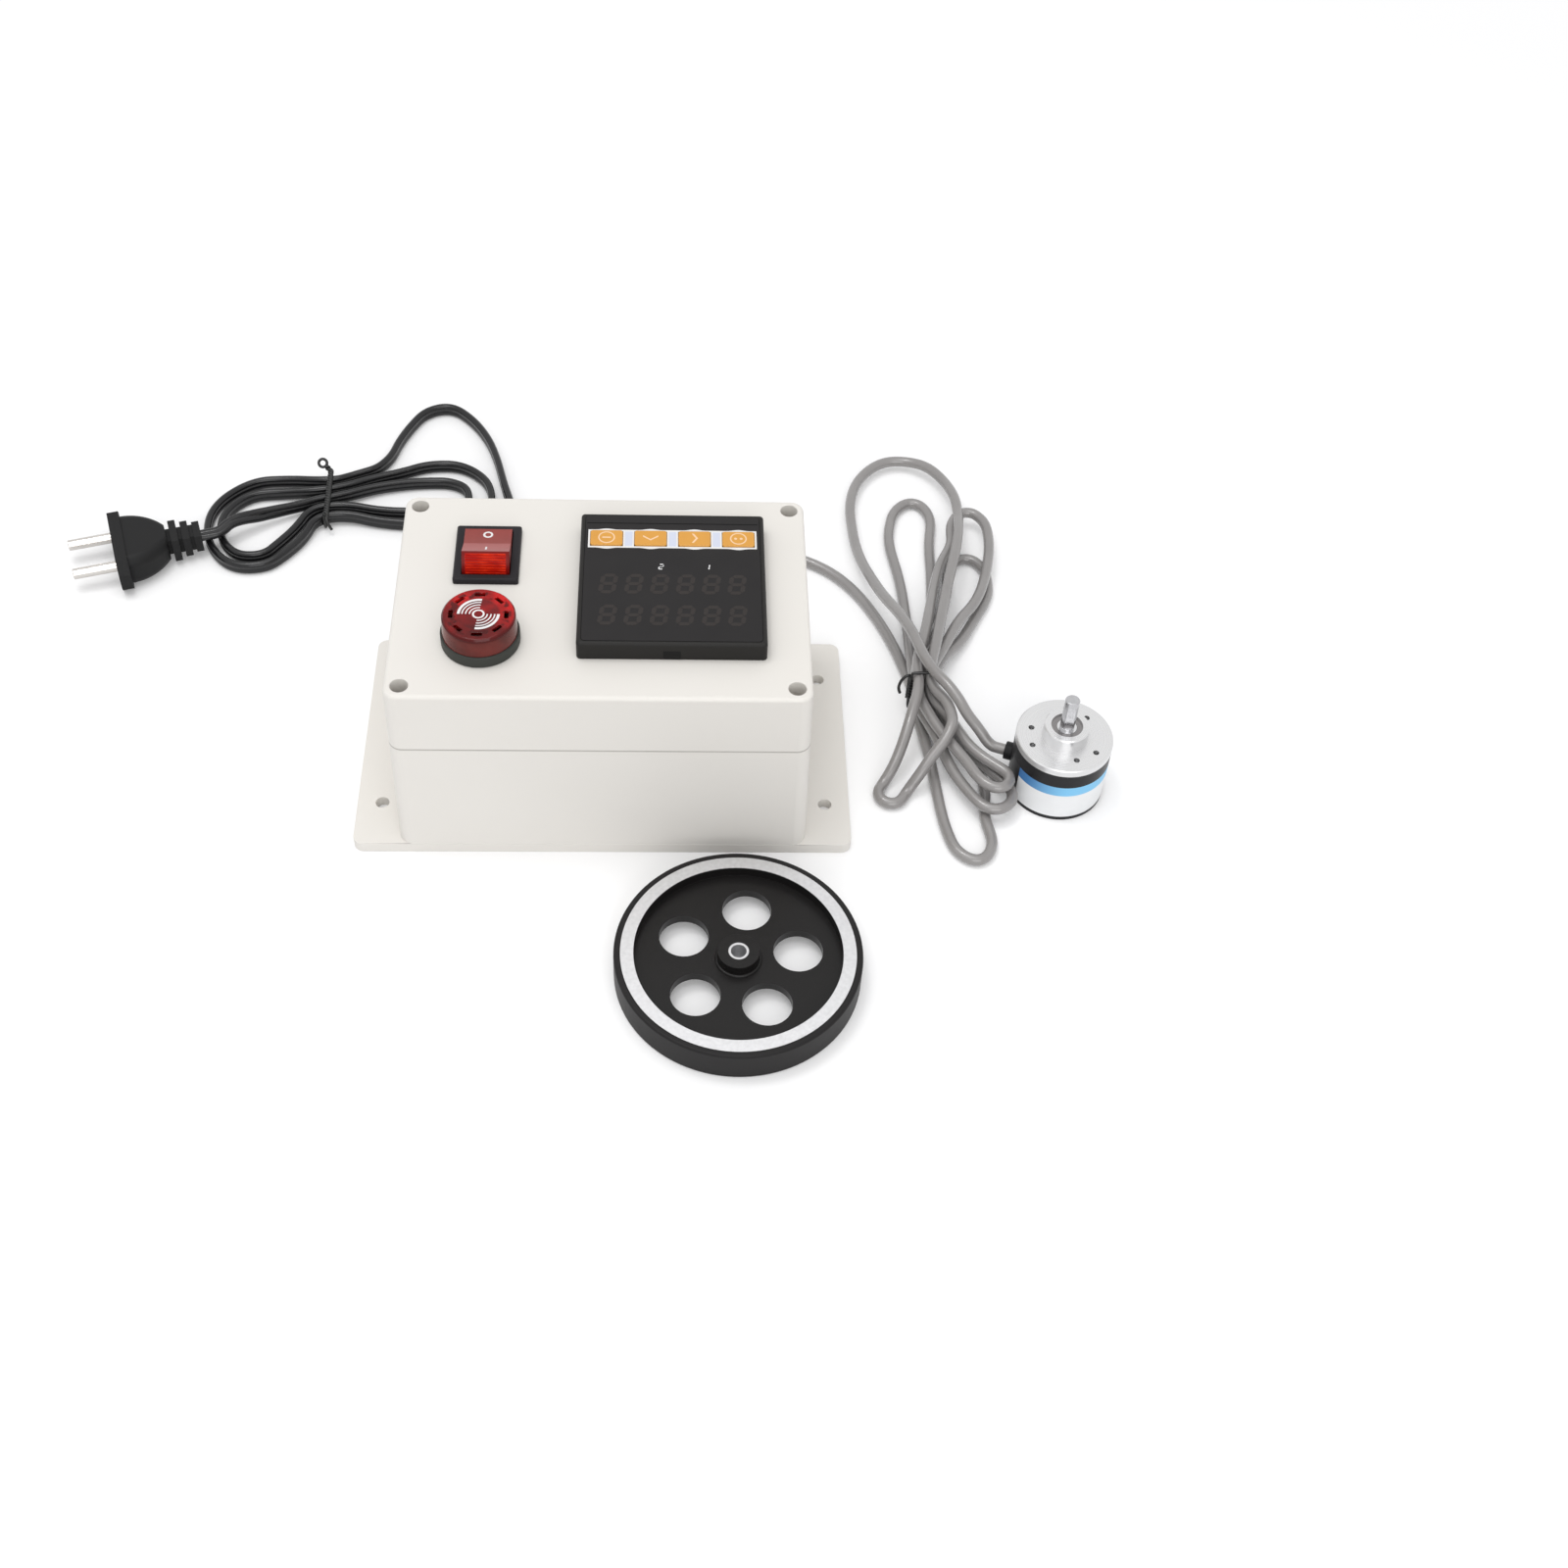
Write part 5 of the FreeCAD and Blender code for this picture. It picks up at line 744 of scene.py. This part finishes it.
def printed(name, outlines, place, finish, body="counter", turn=Matrix.Identity(4)):
    """Marks printed on a surface: closed outlines in millimetres round a place, and each one that
    is inside another is a hole."""
    data = bpy.data.curves.new(name, "CURVE")
    data.dimensions = "2D"
    data.fill_mode = "BOTH"
    data.extrude = PRINT_THICKNESS * MM
    for outline in outlines:
        line = data.splines.new("POLY")
        line.points.add(len(outline) - 1)
        line.use_cyclic_u = True
        for point, (x, y) in zip(line.points, outline):
            point.co = (x * MM, y * MM, 0.0, 1.0)
    made = bpy.data.objects.new(name, data)
    scene.collection.objects.link(made)
    only(made)
    bpy.ops.object.convert(target="MESH")
    made = placed(bpy.context.object, Matrix.Translation(Vector(place) * MM) @ turn)
    return dressed(made, finish, body, smooth=None)


def block(name, size, place):
    """A block with its corner edges rounded, in millimetres, centred on a place."""
    bpy.ops.object.select_all(action="DESELECT")
    bpy.ops.mesh.primitive_cube_add(size=1)
    made = bpy.context.object
    made.name = name
    made.scale = Vector(size) * MM
    bpy.ops.object.transform_apply(location=False, rotation=False, scale=True)
    bpy.ops.object.mode_set(mode="EDIT")
    bpy.ops.mesh.select_all(action="SELECT")
    bpy.ops.mesh.bevel(offset=0.3 * min(size) * MM, segments=2, affect="EDGES")
    bpy.ops.transform.translate(value=Vector(place) * MM)
    bpy.ops.object.mode_set(mode="OBJECT")
    return made


FRONT_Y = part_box("meter_frame")[0].y / MM
LATCH_SIZE = (6.8, 0.6, 4.4)
LATCH_SINK = 0.18
LATCH_HEIGHT = 92.4
GROOVE_REACH = 30.2
# The black strip along the film's groove is painted shade that stands in for the groove.
groove_shadow_black = moulded("groove_shadow_black", (0.002, 0.002, 0.002), 0.8)
printed("film_groove_shadow", [oblong(0, GROOVE_REACH, 33.6, 0.2)], FILM_MIDDLE, groove_shadow_black)
# A very dark plate, sunk just behind the front face, covers the latch notch: painted shade in the notch.
latch_shadow_plate = block("latch_shadow_plate", LATCH_SIZE,
                    (METER_PLACE.x, FRONT_Y + LATCH_SINK, LATCH_HEIGHT))
dressed(latch_shadow_plate, moulded("latch_shadow_black", (0.006, 0.006, 0.006), 0.5))

# Displays: two rows of six red seven-segment digits, switched off, that show as faint bars through
# the film. The bars, the two row marks and the strip round the keys are printed on the film.
DIGIT_PITCH = 9.9
DIGIT_COUNT = 6
DIGIT_WIDTH = 4.9
DIGIT_HEIGHT = 9.0
BAR_WIDTH = 1.75
BAR_GAP = 0.12
DIGIT_SLANT = 0.13
ROW_MIDDLES = (-3.8, -20.6)
ROW_LEFT = -24.6
ROW_MARK = (1.5, 2.6, 0.5, 0.0)
NUMERALS = {"1": "bc", "2": "abged", "8": "abcdefg"}


def digit_bars(x, y, width, height, thick, gap, lit):
    """The lit bars of a seven-segment digit, leaning to the right."""
    w, t = width / 2, height / 2
    ends = {"a": ((-w, t), (w, t)), "b": ((w, t), (w, 0)), "c": ((w, 0), (w, -t)), "d": ((-w, -t), (w, -t)),
            "e": ((-w, 0), (-w, -t)), "f": ((-w, t), (-w, 0)), "g": ((-w, 0), (w, 0))}
    bars = []
    for bar in lit:
        start, end = (Vector(spot) for spot in ends[bar])
        trim = (end - start).normalized() * (thick / 2 + gap)
        outline = bar_of(start + trim, end - trim, thick)
        bars.append([(x + u + v * DIGIT_SLANT, y + v) for u, v in outline])
    return bars


segment_finish = moulded("segment_grey", (0.032, 0.027, 0.0255), 0.4, cloud=120.0, gloss=0.19)
digit_outlines = []
for row_y in ROW_MIDDLES:
    for place in range(DIGIT_COUNT):
        digit_outlines += digit_bars(ROW_LEFT + place * DIGIT_PITCH, row_y, DIGIT_WIDTH, DIGIT_HEIGHT,
                                     BAR_WIDTH, BAR_GAP, NUMERALS["8"])
printed("display_digits", digit_outlines, FILM_MIDDLE, segment_finish)
print_white = moulded("print_white", (0.8, 0.8, 0.8), 0.5, shade=0.94)
UPSIDE_DOWN = Matrix.Rotation(math.pi, 4, "Z")
row_marks = (digit_bars(4.4, -5.8, *ROW_MARK, NUMERALS["2"])
             + digit_bars(-15.0, -5.8, *ROW_MARK, NUMERALS["1"]))
printed("row_marks", row_marks, FILM_MIDDLE, print_white, turn=UPSIDE_DOWN)

KEY_NAMES = ["meter_key_1", "meter_key_2", "meter_key_3", "meter_key_4"]
key_places = [middle_of(key) for key in KEY_NAMES]
KEY_HALF_WIDTH = 6.3
KEY_HALF_HEIGHT = 4.1
KEY_CLEARANCE = 0.15
STRIP_HALF_LENGTH = 33.0
STRIP_HALF_HEIGHT = 5.1
STRIP_BULGE = 0.6
BULGE_REACH = 4.5
WINDOW_HALF_WIDTH = 1.5
strip_y = key_places[0].y


def strip_edge(x):
    """Half the strip's height at a place along it: it bulges a little round each key's symbol."""
    nearest = min(abs(x + METER_PLACE.x - place.x) for place in key_places)
    if nearest >= BULGE_REACH:
        return STRIP_HALF_HEIGHT
    return STRIP_HALF_HEIGHT + STRIP_BULGE * math.cos(math.pi / 2 * nearest / BULGE_REACH) ** 2


strip_steps = [-STRIP_HALF_LENGTH + step for step in range(round(2 * STRIP_HALF_LENGTH) + 1)]
strip_outline = ([(x, -strip_edge(x)) for x in strip_steps]
                 + [(x, strip_edge(x)) for x in reversed(strip_steps)])
key_openings = [oblong(place.x - METER_PLACE.x, 0.0, KEY_HALF_WIDTH + KEY_CLEARANCE,
                       KEY_HALF_HEIGHT + KEY_CLEARANCE) for place in key_places]
printed("key_strip", [strip_outline, *key_openings], (METER_PLACE.x, strip_y, FILM_TOP), print_white)
pale_blue = moulded("print_pale_blue", (0.62, 0.66, 0.78), 0.45, shade=0.94)
strip_windows = [oblong((first.x + second.x) / 2 - METER_PLACE.x, 0.0, WINDOW_HALF_WIDTH, KEY_HALF_HEIGHT)
                 for first, second in zip(key_places, key_places[1:])]
printed("strip_windows", strip_windows, (METER_PLACE.x, strip_y, FILM_TOP + PRINT_THICKNESS), pale_blue)

# Keys: four orange caps that press small switches on the board behind. Each has its own printed
# symbol: a ring with a bar, two arrowheads and a ring with two dots.
KEY_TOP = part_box("meter_key_1")[1].z / MM
key_orange = Finish("key_orange", Coat_Weight=0.3, Coat_Roughness=0.25)
key_cloud = key_orange.noise(160.0, detail=2.0)
key_orange.vary(key_cloud, (0.6, 0.27, 0.025), (0.68, 0.32, 0.036), 0.1, 0.4)
key_print = moulded("key_print", (0.86, 0.6, 0.38), 0.45, shade=0.93)
SYMBOLS = {
    "meter_key_1": [circle_of(0, 0, 3.3), circle_of(0, 0, 2.75), bar_of((-1.5, 0), (1.5, 0), 0.7)],
    "meter_key_2": [[(-3.0, 1.4), (0, -0.75), (3.0, 1.4), (3.0, 0.6), (0, -1.55), (-3.0, 0.6)]],
    "meter_key_3": [[(-1.1, 2.6), (0.5, 0), (-1.1, -2.6), (-0.3, -2.6), (1.4, 0), (-0.3, 2.6)]],
    "meter_key_4": [circle_of(0, 0, 3.3), circle_of(0, 0, 2.75), circle_of(-1.1, 0, 0.6),
                    circle_of(1.1, 0, 0.6)]}
SYMBOL_TOP = KEY_TOP - PRINT_THICKNESS / 2
for key, place in zip(KEY_NAMES, key_places):
    body = "key_" + key[-1]
    softened(key, 0.3, key_orange, body)
    printed(key + "_symbol", SYMBOLS[key], (place.x, place.y, SYMBOL_TOP), key_print, body)
kept(moulded("key_switch_plastic", (0.02, 0.02, 0.02), 0.5), "key_switches")

# Inside the meter: a black case, two displays and two circuit boards with a transformer, relays
# and a row of screw terminals at the back. Side clips hold it in the lid.
softened("meter_case", 0.3, moulded("case_plastic", (0.02, 0.02, 0.021), 0.5))
display_glass = Finish("display_glass", (0.02, 0.015, 0.015))
display_cloud = display_glass.noise(90.0)
display_glass.set("Roughness", display_cloud * 0.1 + 0.12)
board_green = Finish("board_green")
tracks = board_green.noise(420.0, detail=1.0, stretch=(1, 3, 1)).ramp(0.47, 0.53)
board_green.vary(tracks, (0.012, 0.11, 0.035), (0.02, 0.19, 0.06), 0.1, 0.32)
board_green.bump(tracks, 0.04 * MM, 0.4)
kept(display_glass, "upper_display", "lower_display")
kept(board_green, "meter_front_board", "meter_main_board")
kept(moulded("transformer_tape", (0.55, 0.38, 0.06), 0.4, cloud=70.0), "meter_transformer")
kept(moulded("relay_blue", (0.03, 0.09, 0.3), 0.4), "meter_relays")
kept(moulded("terminal_green", (0.02, 0.16, 0.06), 0.5), "meter_terminals")
kept(zinc, "terminal_screws")
kept(moulded("clip_plastic", (0.025, 0.025, 0.026), 0.5), "meter_clips")

# Rocker switch: a black housing that snaps into the lid from above, and a red see-through rocker
# whose near end is a ribbed window over the lamp. Its two pads carry the ring and the bar.
SWITCH_X = -45.4
SWITCH_Y = 20.1
PIVOT_HEIGHT = 88.8
ROCKER_TILT = 15.0
ROCKER_MIDDLE = 6.9
PAD_RISE = 1.5
PAD_LENGTH = 9.2
ROCKER_SLOPE = math.atan2(PAD_RISE, PAD_LENGTH)
END_ARC_Y = 1.817
END_ARC_Z = -0.24
END_ARC_RADIUS = 14.0
RIB_LENGTH = 15.6
RIB_COUNT = 8
RIB_RADIUS = 0.34
FIRST_RIB = 3.0
RIB_STEP = 4.3
MARK_REACH = 5.6
FOLD_Y = 21.9
END_Y = 13.6
PANE_HALF_WIDTH = 8.0
PANE_TOP = 98.6
softened("switch_housing", 0.3, moulded("switch_black", (0.018, 0.016, 0.019), 0.42))
rocker_place = (Matrix.Translation(Vector((SWITCH_X, SWITCH_Y, PIVOT_HEIGHT)) * MM)
                @ Matrix.Rotation(math.radians(-ROCKER_TILT), 4, "X"))
rocker_red = Finish("rocker_red", Specular_IOR_Level=0.17)
rocker_x, rocker_y, rocker_z = rocker_red.axes()
rocker_cloud = rocker_red.noise(260.0, detail=3.0)
far_share = rocker_y.edge(FOLD_Y, 0.2)
end_share = rocker_y.edge(END_Y, -0.15)
in_pane = (rocker_x - SWITCH_X * MM).absolute().edge(PANE_HALF_WIDTH, -0.2)
below_step_shadow = rocker_z.edge(PANE_TOP, -0.4)
dusty = rocker_cloud.mix((0.24, 0.046, 0.04), (0.3, 0.062, 0.054))
# The near pad's top is a paler pink: a painted highlight along the crest.
near_pad_painted_highlight = rocker_cloud.mix((0.34, 0.1, 0.095), (0.4, 0.13, 0.125))
bright = rocker_cloud.mix((0.36, 0.005, 0.002), (0.44, 0.008, 0.003))
# Round the ribbed pane the end face is darker red: at its sides this is the rocker's own border, above the
# pane it is painted shadow of the step at the crest.
rocker_end = (in_pane * below_step_shadow).mix((0.16, 0.004, 0.003), bright)
rocker_top = far_share.mix(near_pad_painted_highlight, dusty)
rocker_red.set("Base Color", end_share.mix(rocker_top, rocker_end))
rocker_red.set("Roughness", rocker_cloud * 0.1 + 0.25)
softened("switch_rocker", 0.35, rocker_red, "rocker")


def copied(piece, move):
    """A copy of a piece with its own mesh, moved by so many millimetres."""
    made = piece.copy()
    made.data = piece.data.copy()
    made.data.transform(Matrix.Translation(Vector(move) * MM))
    scene.collection.objects.link(made)
    return made


rib_turns = [math.radians(FIRST_RIB + rib * RIB_STEP) for rib in range(RIB_COUNT)]
rib_spots = [Vector((0, END_ARC_Y - END_ARC_RADIUS * math.cos(turn),
                     END_ARC_Z + END_ARC_RADIUS * math.sin(turn))) for turn in rib_turns]
first_rib = block("first_rib", (RIB_LENGTH, 2 * RIB_RADIUS, 2 * RIB_RADIUS), rib_spots[0])
more_ribs = [copied(first_rib, spot - rib_spots[0]) for spot in rib_spots[1:]]
rocker_ribs = joined("rocker_ribs", [first_rib, *more_ribs])
window_red = Finish("window_red", Specular_IOR_Level=0.14)
window_cloud = window_red.noise(420.0, detail=2.0, stretch=(0.3, 1, 1)).ramp(0.35, 0.65)
window_red.vary(window_cloud, (0.42, 0.006, 0.002), (0.7, 0.028, 0.004), 0.1, 0.2)
dressed(placed(rocker_ribs, rocker_place), window_red, "rocker")
near_slope, far_slope = (rocker_place @ Matrix.Translation((0, 0, ROCKER_MIDDLE * MM))
                         @ Matrix.Rotation(side * ROCKER_SLOPE, 4, "X") for side in (-1, 1))
printed("off_mark", [circle_of(0, MARK_REACH, 1.95), circle_of(0, MARK_REACH, 1.15)], (0, 0, 0),
        print_white, "rocker", far_slope)
printed("on_mark", [oblong(0, -MARK_REACH, 0.35, 1.5)], (0, 0, 0), print_white, "rocker",
        near_slope)
plunger_white = moulded("plunger_white", (0.75, 0.74, 0.7), 0.4)
kept(plunger_white, "switch_plunger")
kept(brass, "switch_contact", "switch_terminals")

# Flashing sounder: a clear red lens, pressed into a dark collar, over a ring of lamps and the sounder. Its
# threaded barrel goes through the lid to a nut. White waves are printed on the lens round its middle.
ALARM = middle_of("alarm_lens")
LAMP_RING = 10.3
LAMP_BAND = 1.9
CORE_REACH = 8.0
RIM_REACH = 13.3
RIM_DEPTH = 1.7
LENS_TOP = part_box("alarm_lens")[1].z / MM


def from_axis(finish, x, y):
    """How far a point lies from an upright axis that is given in millimetres."""
    spot = finish.axes()
    across, away = spot[0] - x * MM, spot[1] - y * MM
    return (across * across + away * away) ** 0.5


collar_black = moulded("collar_black", (0.045, 0.048, 0.043), 0.5)
softened("alarm_collar", 0.5, collar_black, steps=3)
lens_red = Finish("lens_red", Transmission_Weight=0.35, IOR=1.4, Specular_IOR_Level=0.15, Coat_Weight=0.1,
                  Coat_Roughness=0.03)
lens_place = lens_red.axes()
lens_reach = from_axis(lens_red, ALARM.x, ALARM.y)
lens_cloud = lens_red.noise(110.0, detail=2.0).ramp(0.3, 0.7)
lamp_band = (lens_reach - LAMP_RING * MM).absolute().edge(LAMP_BAND, -0.7)
blots = lens_red.noise(300.0, detail=1.0).ramp(0.5, 0.62) * lamp_band
# The lens top is painted brighter red on its far side and darker on its near side: painted light and shade.
toward_light = (lens_place[1] - ALARM.y * MM) + (lens_place[0] - ALARM.x * MM) * 0.3
painted_lit_side = toward_light.edge(0.0, 7.0)
lens_colour = painted_lit_side.mix(lens_cloud.mix((0.14, 0.006, 0.006), (0.3, 0.01, 0.01)),
                           lens_cloud.mix((0.42, 0.008, 0.008), (0.85, 0.014, 0.014)))
lens_rim = lens_reach.edge(RIM_REACH, 0.4)
lens_core = lens_reach.edge(CORE_REACH, -0.6)
lens_side = lens_place[2].edge(LENS_TOP - RIM_DEPTH, -0.5)
side_colour = lens_cloud.mix((0.13, 0.022, 0.018), (0.22, 0.034, 0.028))
lens_middle = (lens_core * (0.75 - lens_cloud * 0.45)).mix(lens_colour, (0.05, 0.008, 0.01))
top_colour = (blots * 0.85).greater(lens_rim * 0.85).mix(lens_middle, (0.09, 0.002, 0.002))
lens_red.set("Base Color", lens_side.mix(top_colour, side_colour))
lens_red.set("Roughness", lens_cloud * 0.08 + 0.04)
softened("alarm_lens", 0.35, lens_red, steps=3)
WAVES = ((6.95, 8.0), (5.85, 6.35), (4.5, 5.0), (3.1, 3.6))
UPPER_LEFT = (83, 180)
LOWER_RIGHT = (263, 360)
wave_outlines = [band_of(inner, outer, *quarter) for inner, outer in WAVES
                 for quarter in (UPPER_LEFT, LOWER_RIGHT)]
printed("lens_waves", [*wave_outlines, circle_of(0, 0, 2.35), circle_of(0, 0, 1.65)],
        (ALARM.x, ALARM.y, LENS_TOP), print_white)
kept(moulded("lamp_board", (0.4, 0.03, 0.03), 0.4, shade=0.6, cloud=200.0), "alarm_board")
sounder_black = moulded("sounder_black", (0.02, 0.02, 0.02), 0.4)
kept(sounder_black, "alarm_sounder", "alarm_nut")
kept(moulded("seal_rubber", (0.015, 0.015, 0.015), 0.7), "alarm_seal")
kept(brass, "alarm_terminals")

# Cord reliefs: two soft black grommets with tapered tails, pulled through the rear wall of the base.
relief_rubber = moulded("relief_rubber", (0.016, 0.016, 0.017), 0.5)
for node in ("mains_gland", "signal_gland"):
    softened(node, 0.4, relief_rubber)

# Encoder: a turned aluminium face with a boss round the shaft, held by three small screws in a
# black drawn cover. A paper label with a blue band goes round the cover.
ENCODER_X = encoder_middle.x
ENCODER_Y = encoder_middle.y
BAND_FOOT = 15.0
LABEL_BLUE = (0.04, 0.16, 0.42)
LABEL_PALE_BLUE = (0.2, 0.55, 0.85)
GAP_HEADING = 168.0
GAP_REACH = 15.8


def turned(name, colour, x, y, roughness=0.28):
    """Turned metal: fine rings left by the lathe round an axis."""
    finish = Finish(name, Metallic=1.0)
    rings = finish.node("ShaderNodeTexNoise", {"noise_dimensions": "1D"},
                        inputs={"W": from_axis(finish, x, y), "Scale": 3500.0, "Detail": 3.0})
    finish.vary(rings, tuple(0.86 * part for part in colour), colour, 0.16, roughness - 0.08)
    finish.bump(rings, 0.01 * MM, 0.25)
    return finish


cover_black = moulded("cover_black", (0.016, 0.016, 0.018), 0.35, cloud=80.0)
softened("encoder_cover", 0.35, cover_black)
label_print = Finish("label_print")
label_x, label_y, label_z = label_print.axes()
label_shine = label_print.noise(120.0, detail=3.0)
band_share = label_z.edge(BAND_FOOT, 0.12)
blue_share = label_x.ramp((ENCODER_X - 20) * MM, (ENCODER_X + 2) * MM)
paper = label_shine.mix((0.78, 0.79, 0.8), (0.86, 0.87, 0.88))
toward_gland = heading(GAP_HEADING)
gland_share = ((label_x - ENCODER_X * MM) * toward_gland.x
               + (label_y - ENCODER_Y * MM) * toward_gland.y)
label_gap = gland_share.edge(GAP_REACH, 0.1)
printed_label = band_share.mix(paper, blue_share.mix(LABEL_BLUE, LABEL_PALE_BLUE))
label_print.set("Base Color", label_gap.mix(printed_label, (0.014, 0.014, 0.016)))
label_print.set("Roughness", label_shine * 0.15 + 0.32)
kept(label_print, "encoder_label")
face_metal = turned("turned_aluminium", (0.75, 0.75, 0.755), ENCODER_X, ENCODER_Y)
face_metal.set("Metallic", 0.85)
softened("encoder_face", 0.3, face_metal, steps=3)
bearing_steel = turned("bearing_steel", (0.75, 0.75, 0.76), ENCODER_X, ENCODER_Y, 0.2)
kept(turned("bearing_shield", (0.28, 0.27, 0.27), ENCODER_X, ENCODER_Y, 0.25), "bearing_outer_rings")
kept(bearing_steel, "bearing_inner_rings", "bearing_balls")
shaft_steel = plated("shaft_steel", (0.56, 0.56, 0.575), 0.2, 400.0)
softened("encoder_shaft", 0.3, shaft_steel, "encoder_rotor", steps=3)
kept(plated("dark_steel", (0.2, 0.19, 0.18), 0.35), "cover_screws")
softened("encoder_gland", 0.3, relief_rubber)
kept(brass, "disk_hub")
slit_film = Finish("slit_film")
slits = slit_film.noise(900.0, detail=1.0).ramp(0.48, 0.52)
slit_film.vary(slits, (0.02, 0.02, 0.02), (0.35, 0.33, 0.28), 0.2, 0.1)
kept(slit_film, "code_disk")
kept(board_green, "encoder_board")

# Measuring wheel: turned from aluminium and painted black, with five holes in a thin web and a hub
# for the shaft. Its rim is bare, and a rubber tyre is pressed on it. A grub screw clamps the shaft.
WHEEL_X = 53.0
WHEEL_Y = -115.1
WHEEL_TOP = 14.0
RIM_BORE = 40.1
HUB_CHAMFER_REACH = 3.9
HUB_STEP_RADIUS = 8.3
HUB_STEP_HEIGHT = 0.9
WEB_TOP = 9.0
wheel_paint = Finish("wheel_paint", Specular_IOR_Level=0.22)
wheel_reach = from_axis(wheel_paint, WHEEL_X, WHEEL_Y)
wheel_z = wheel_paint.axes()[2]
end_face = (wheel_z - WHEEL_TOP / 2 * MM).absolute().edge(WHEEL_TOP / 2 - 0.375, 0.075)
on_rim = wheel_reach.edge(RIM_BORE, 0.05)
at_bore = wheel_reach.edge(HUB_CHAMFER_REACH, -0.15)
bare = (end_face * on_rim).greater(at_bore)
paint_speck = wheel_paint.noise(1900.0, detail=2.0)
metal_streak = wheel_paint.noise(700.0, detail=4.0)
wheel_paint.set("Base Color", bare.mix(paint_speck.mix((0.006, 0.0055, 0.0055), (0.012, 0.011, 0.011)),
                                       metal_streak.mix((0.5, 0.5, 0.51), (0.68, 0.68, 0.69))))
wheel_paint.set("Metallic", bare * 0.85)
wheel_paint.set("Roughness", bare * (metal_streak * 0.2 - 0.02) + (paint_speck * 0.1 + 0.27))
wheel_paint.bump(paint_speck, 0.03 * MM, 0.5)
softened("wheel_disc", 0.3, wheel_paint, "wheel")
bpy.ops.object.select_all(action="DESELECT")
bpy.ops.mesh.primitive_torus_add(major_segments=64, minor_segments=16, major_radius=HUB_STEP_RADIUS * MM,
                                 minor_radius=HUB_STEP_HEIGHT * MM)
hub_step = bpy.context.object
hub_step.name = "wheel_hub_step"
bpy.ops.object.mode_set(mode="EDIT")
bpy.ops.mesh.select_all(action="SELECT")
bpy.ops.mesh.bisect(plane_co=(0, 0, 0), plane_no=(0, 0, 1), clear_inner=True, use_fill=False)
bpy.ops.mesh.select_all(action="SELECT")
bpy.ops.transform.translate(value=Vector((WHEEL_X, WHEEL_Y, WEB_TOP)) * MM)
bpy.ops.object.mode_set(mode="OBJECT")
dressed(hub_step, wheel_paint, "wheel")
tyre_rubber = moulded("tyre_rubber", (0.0145, 0.0135, 0.0138), 0.48, cloud=50.0, grain=700.0,
                      relief=0.05)
softened("wheel_tyre", 0.45, tyre_rubber, "wheel", steps=3)
kept(plated("grub_steel", (0.25, 0.25, 0.26), 0.3), "wheel_grub_screw")
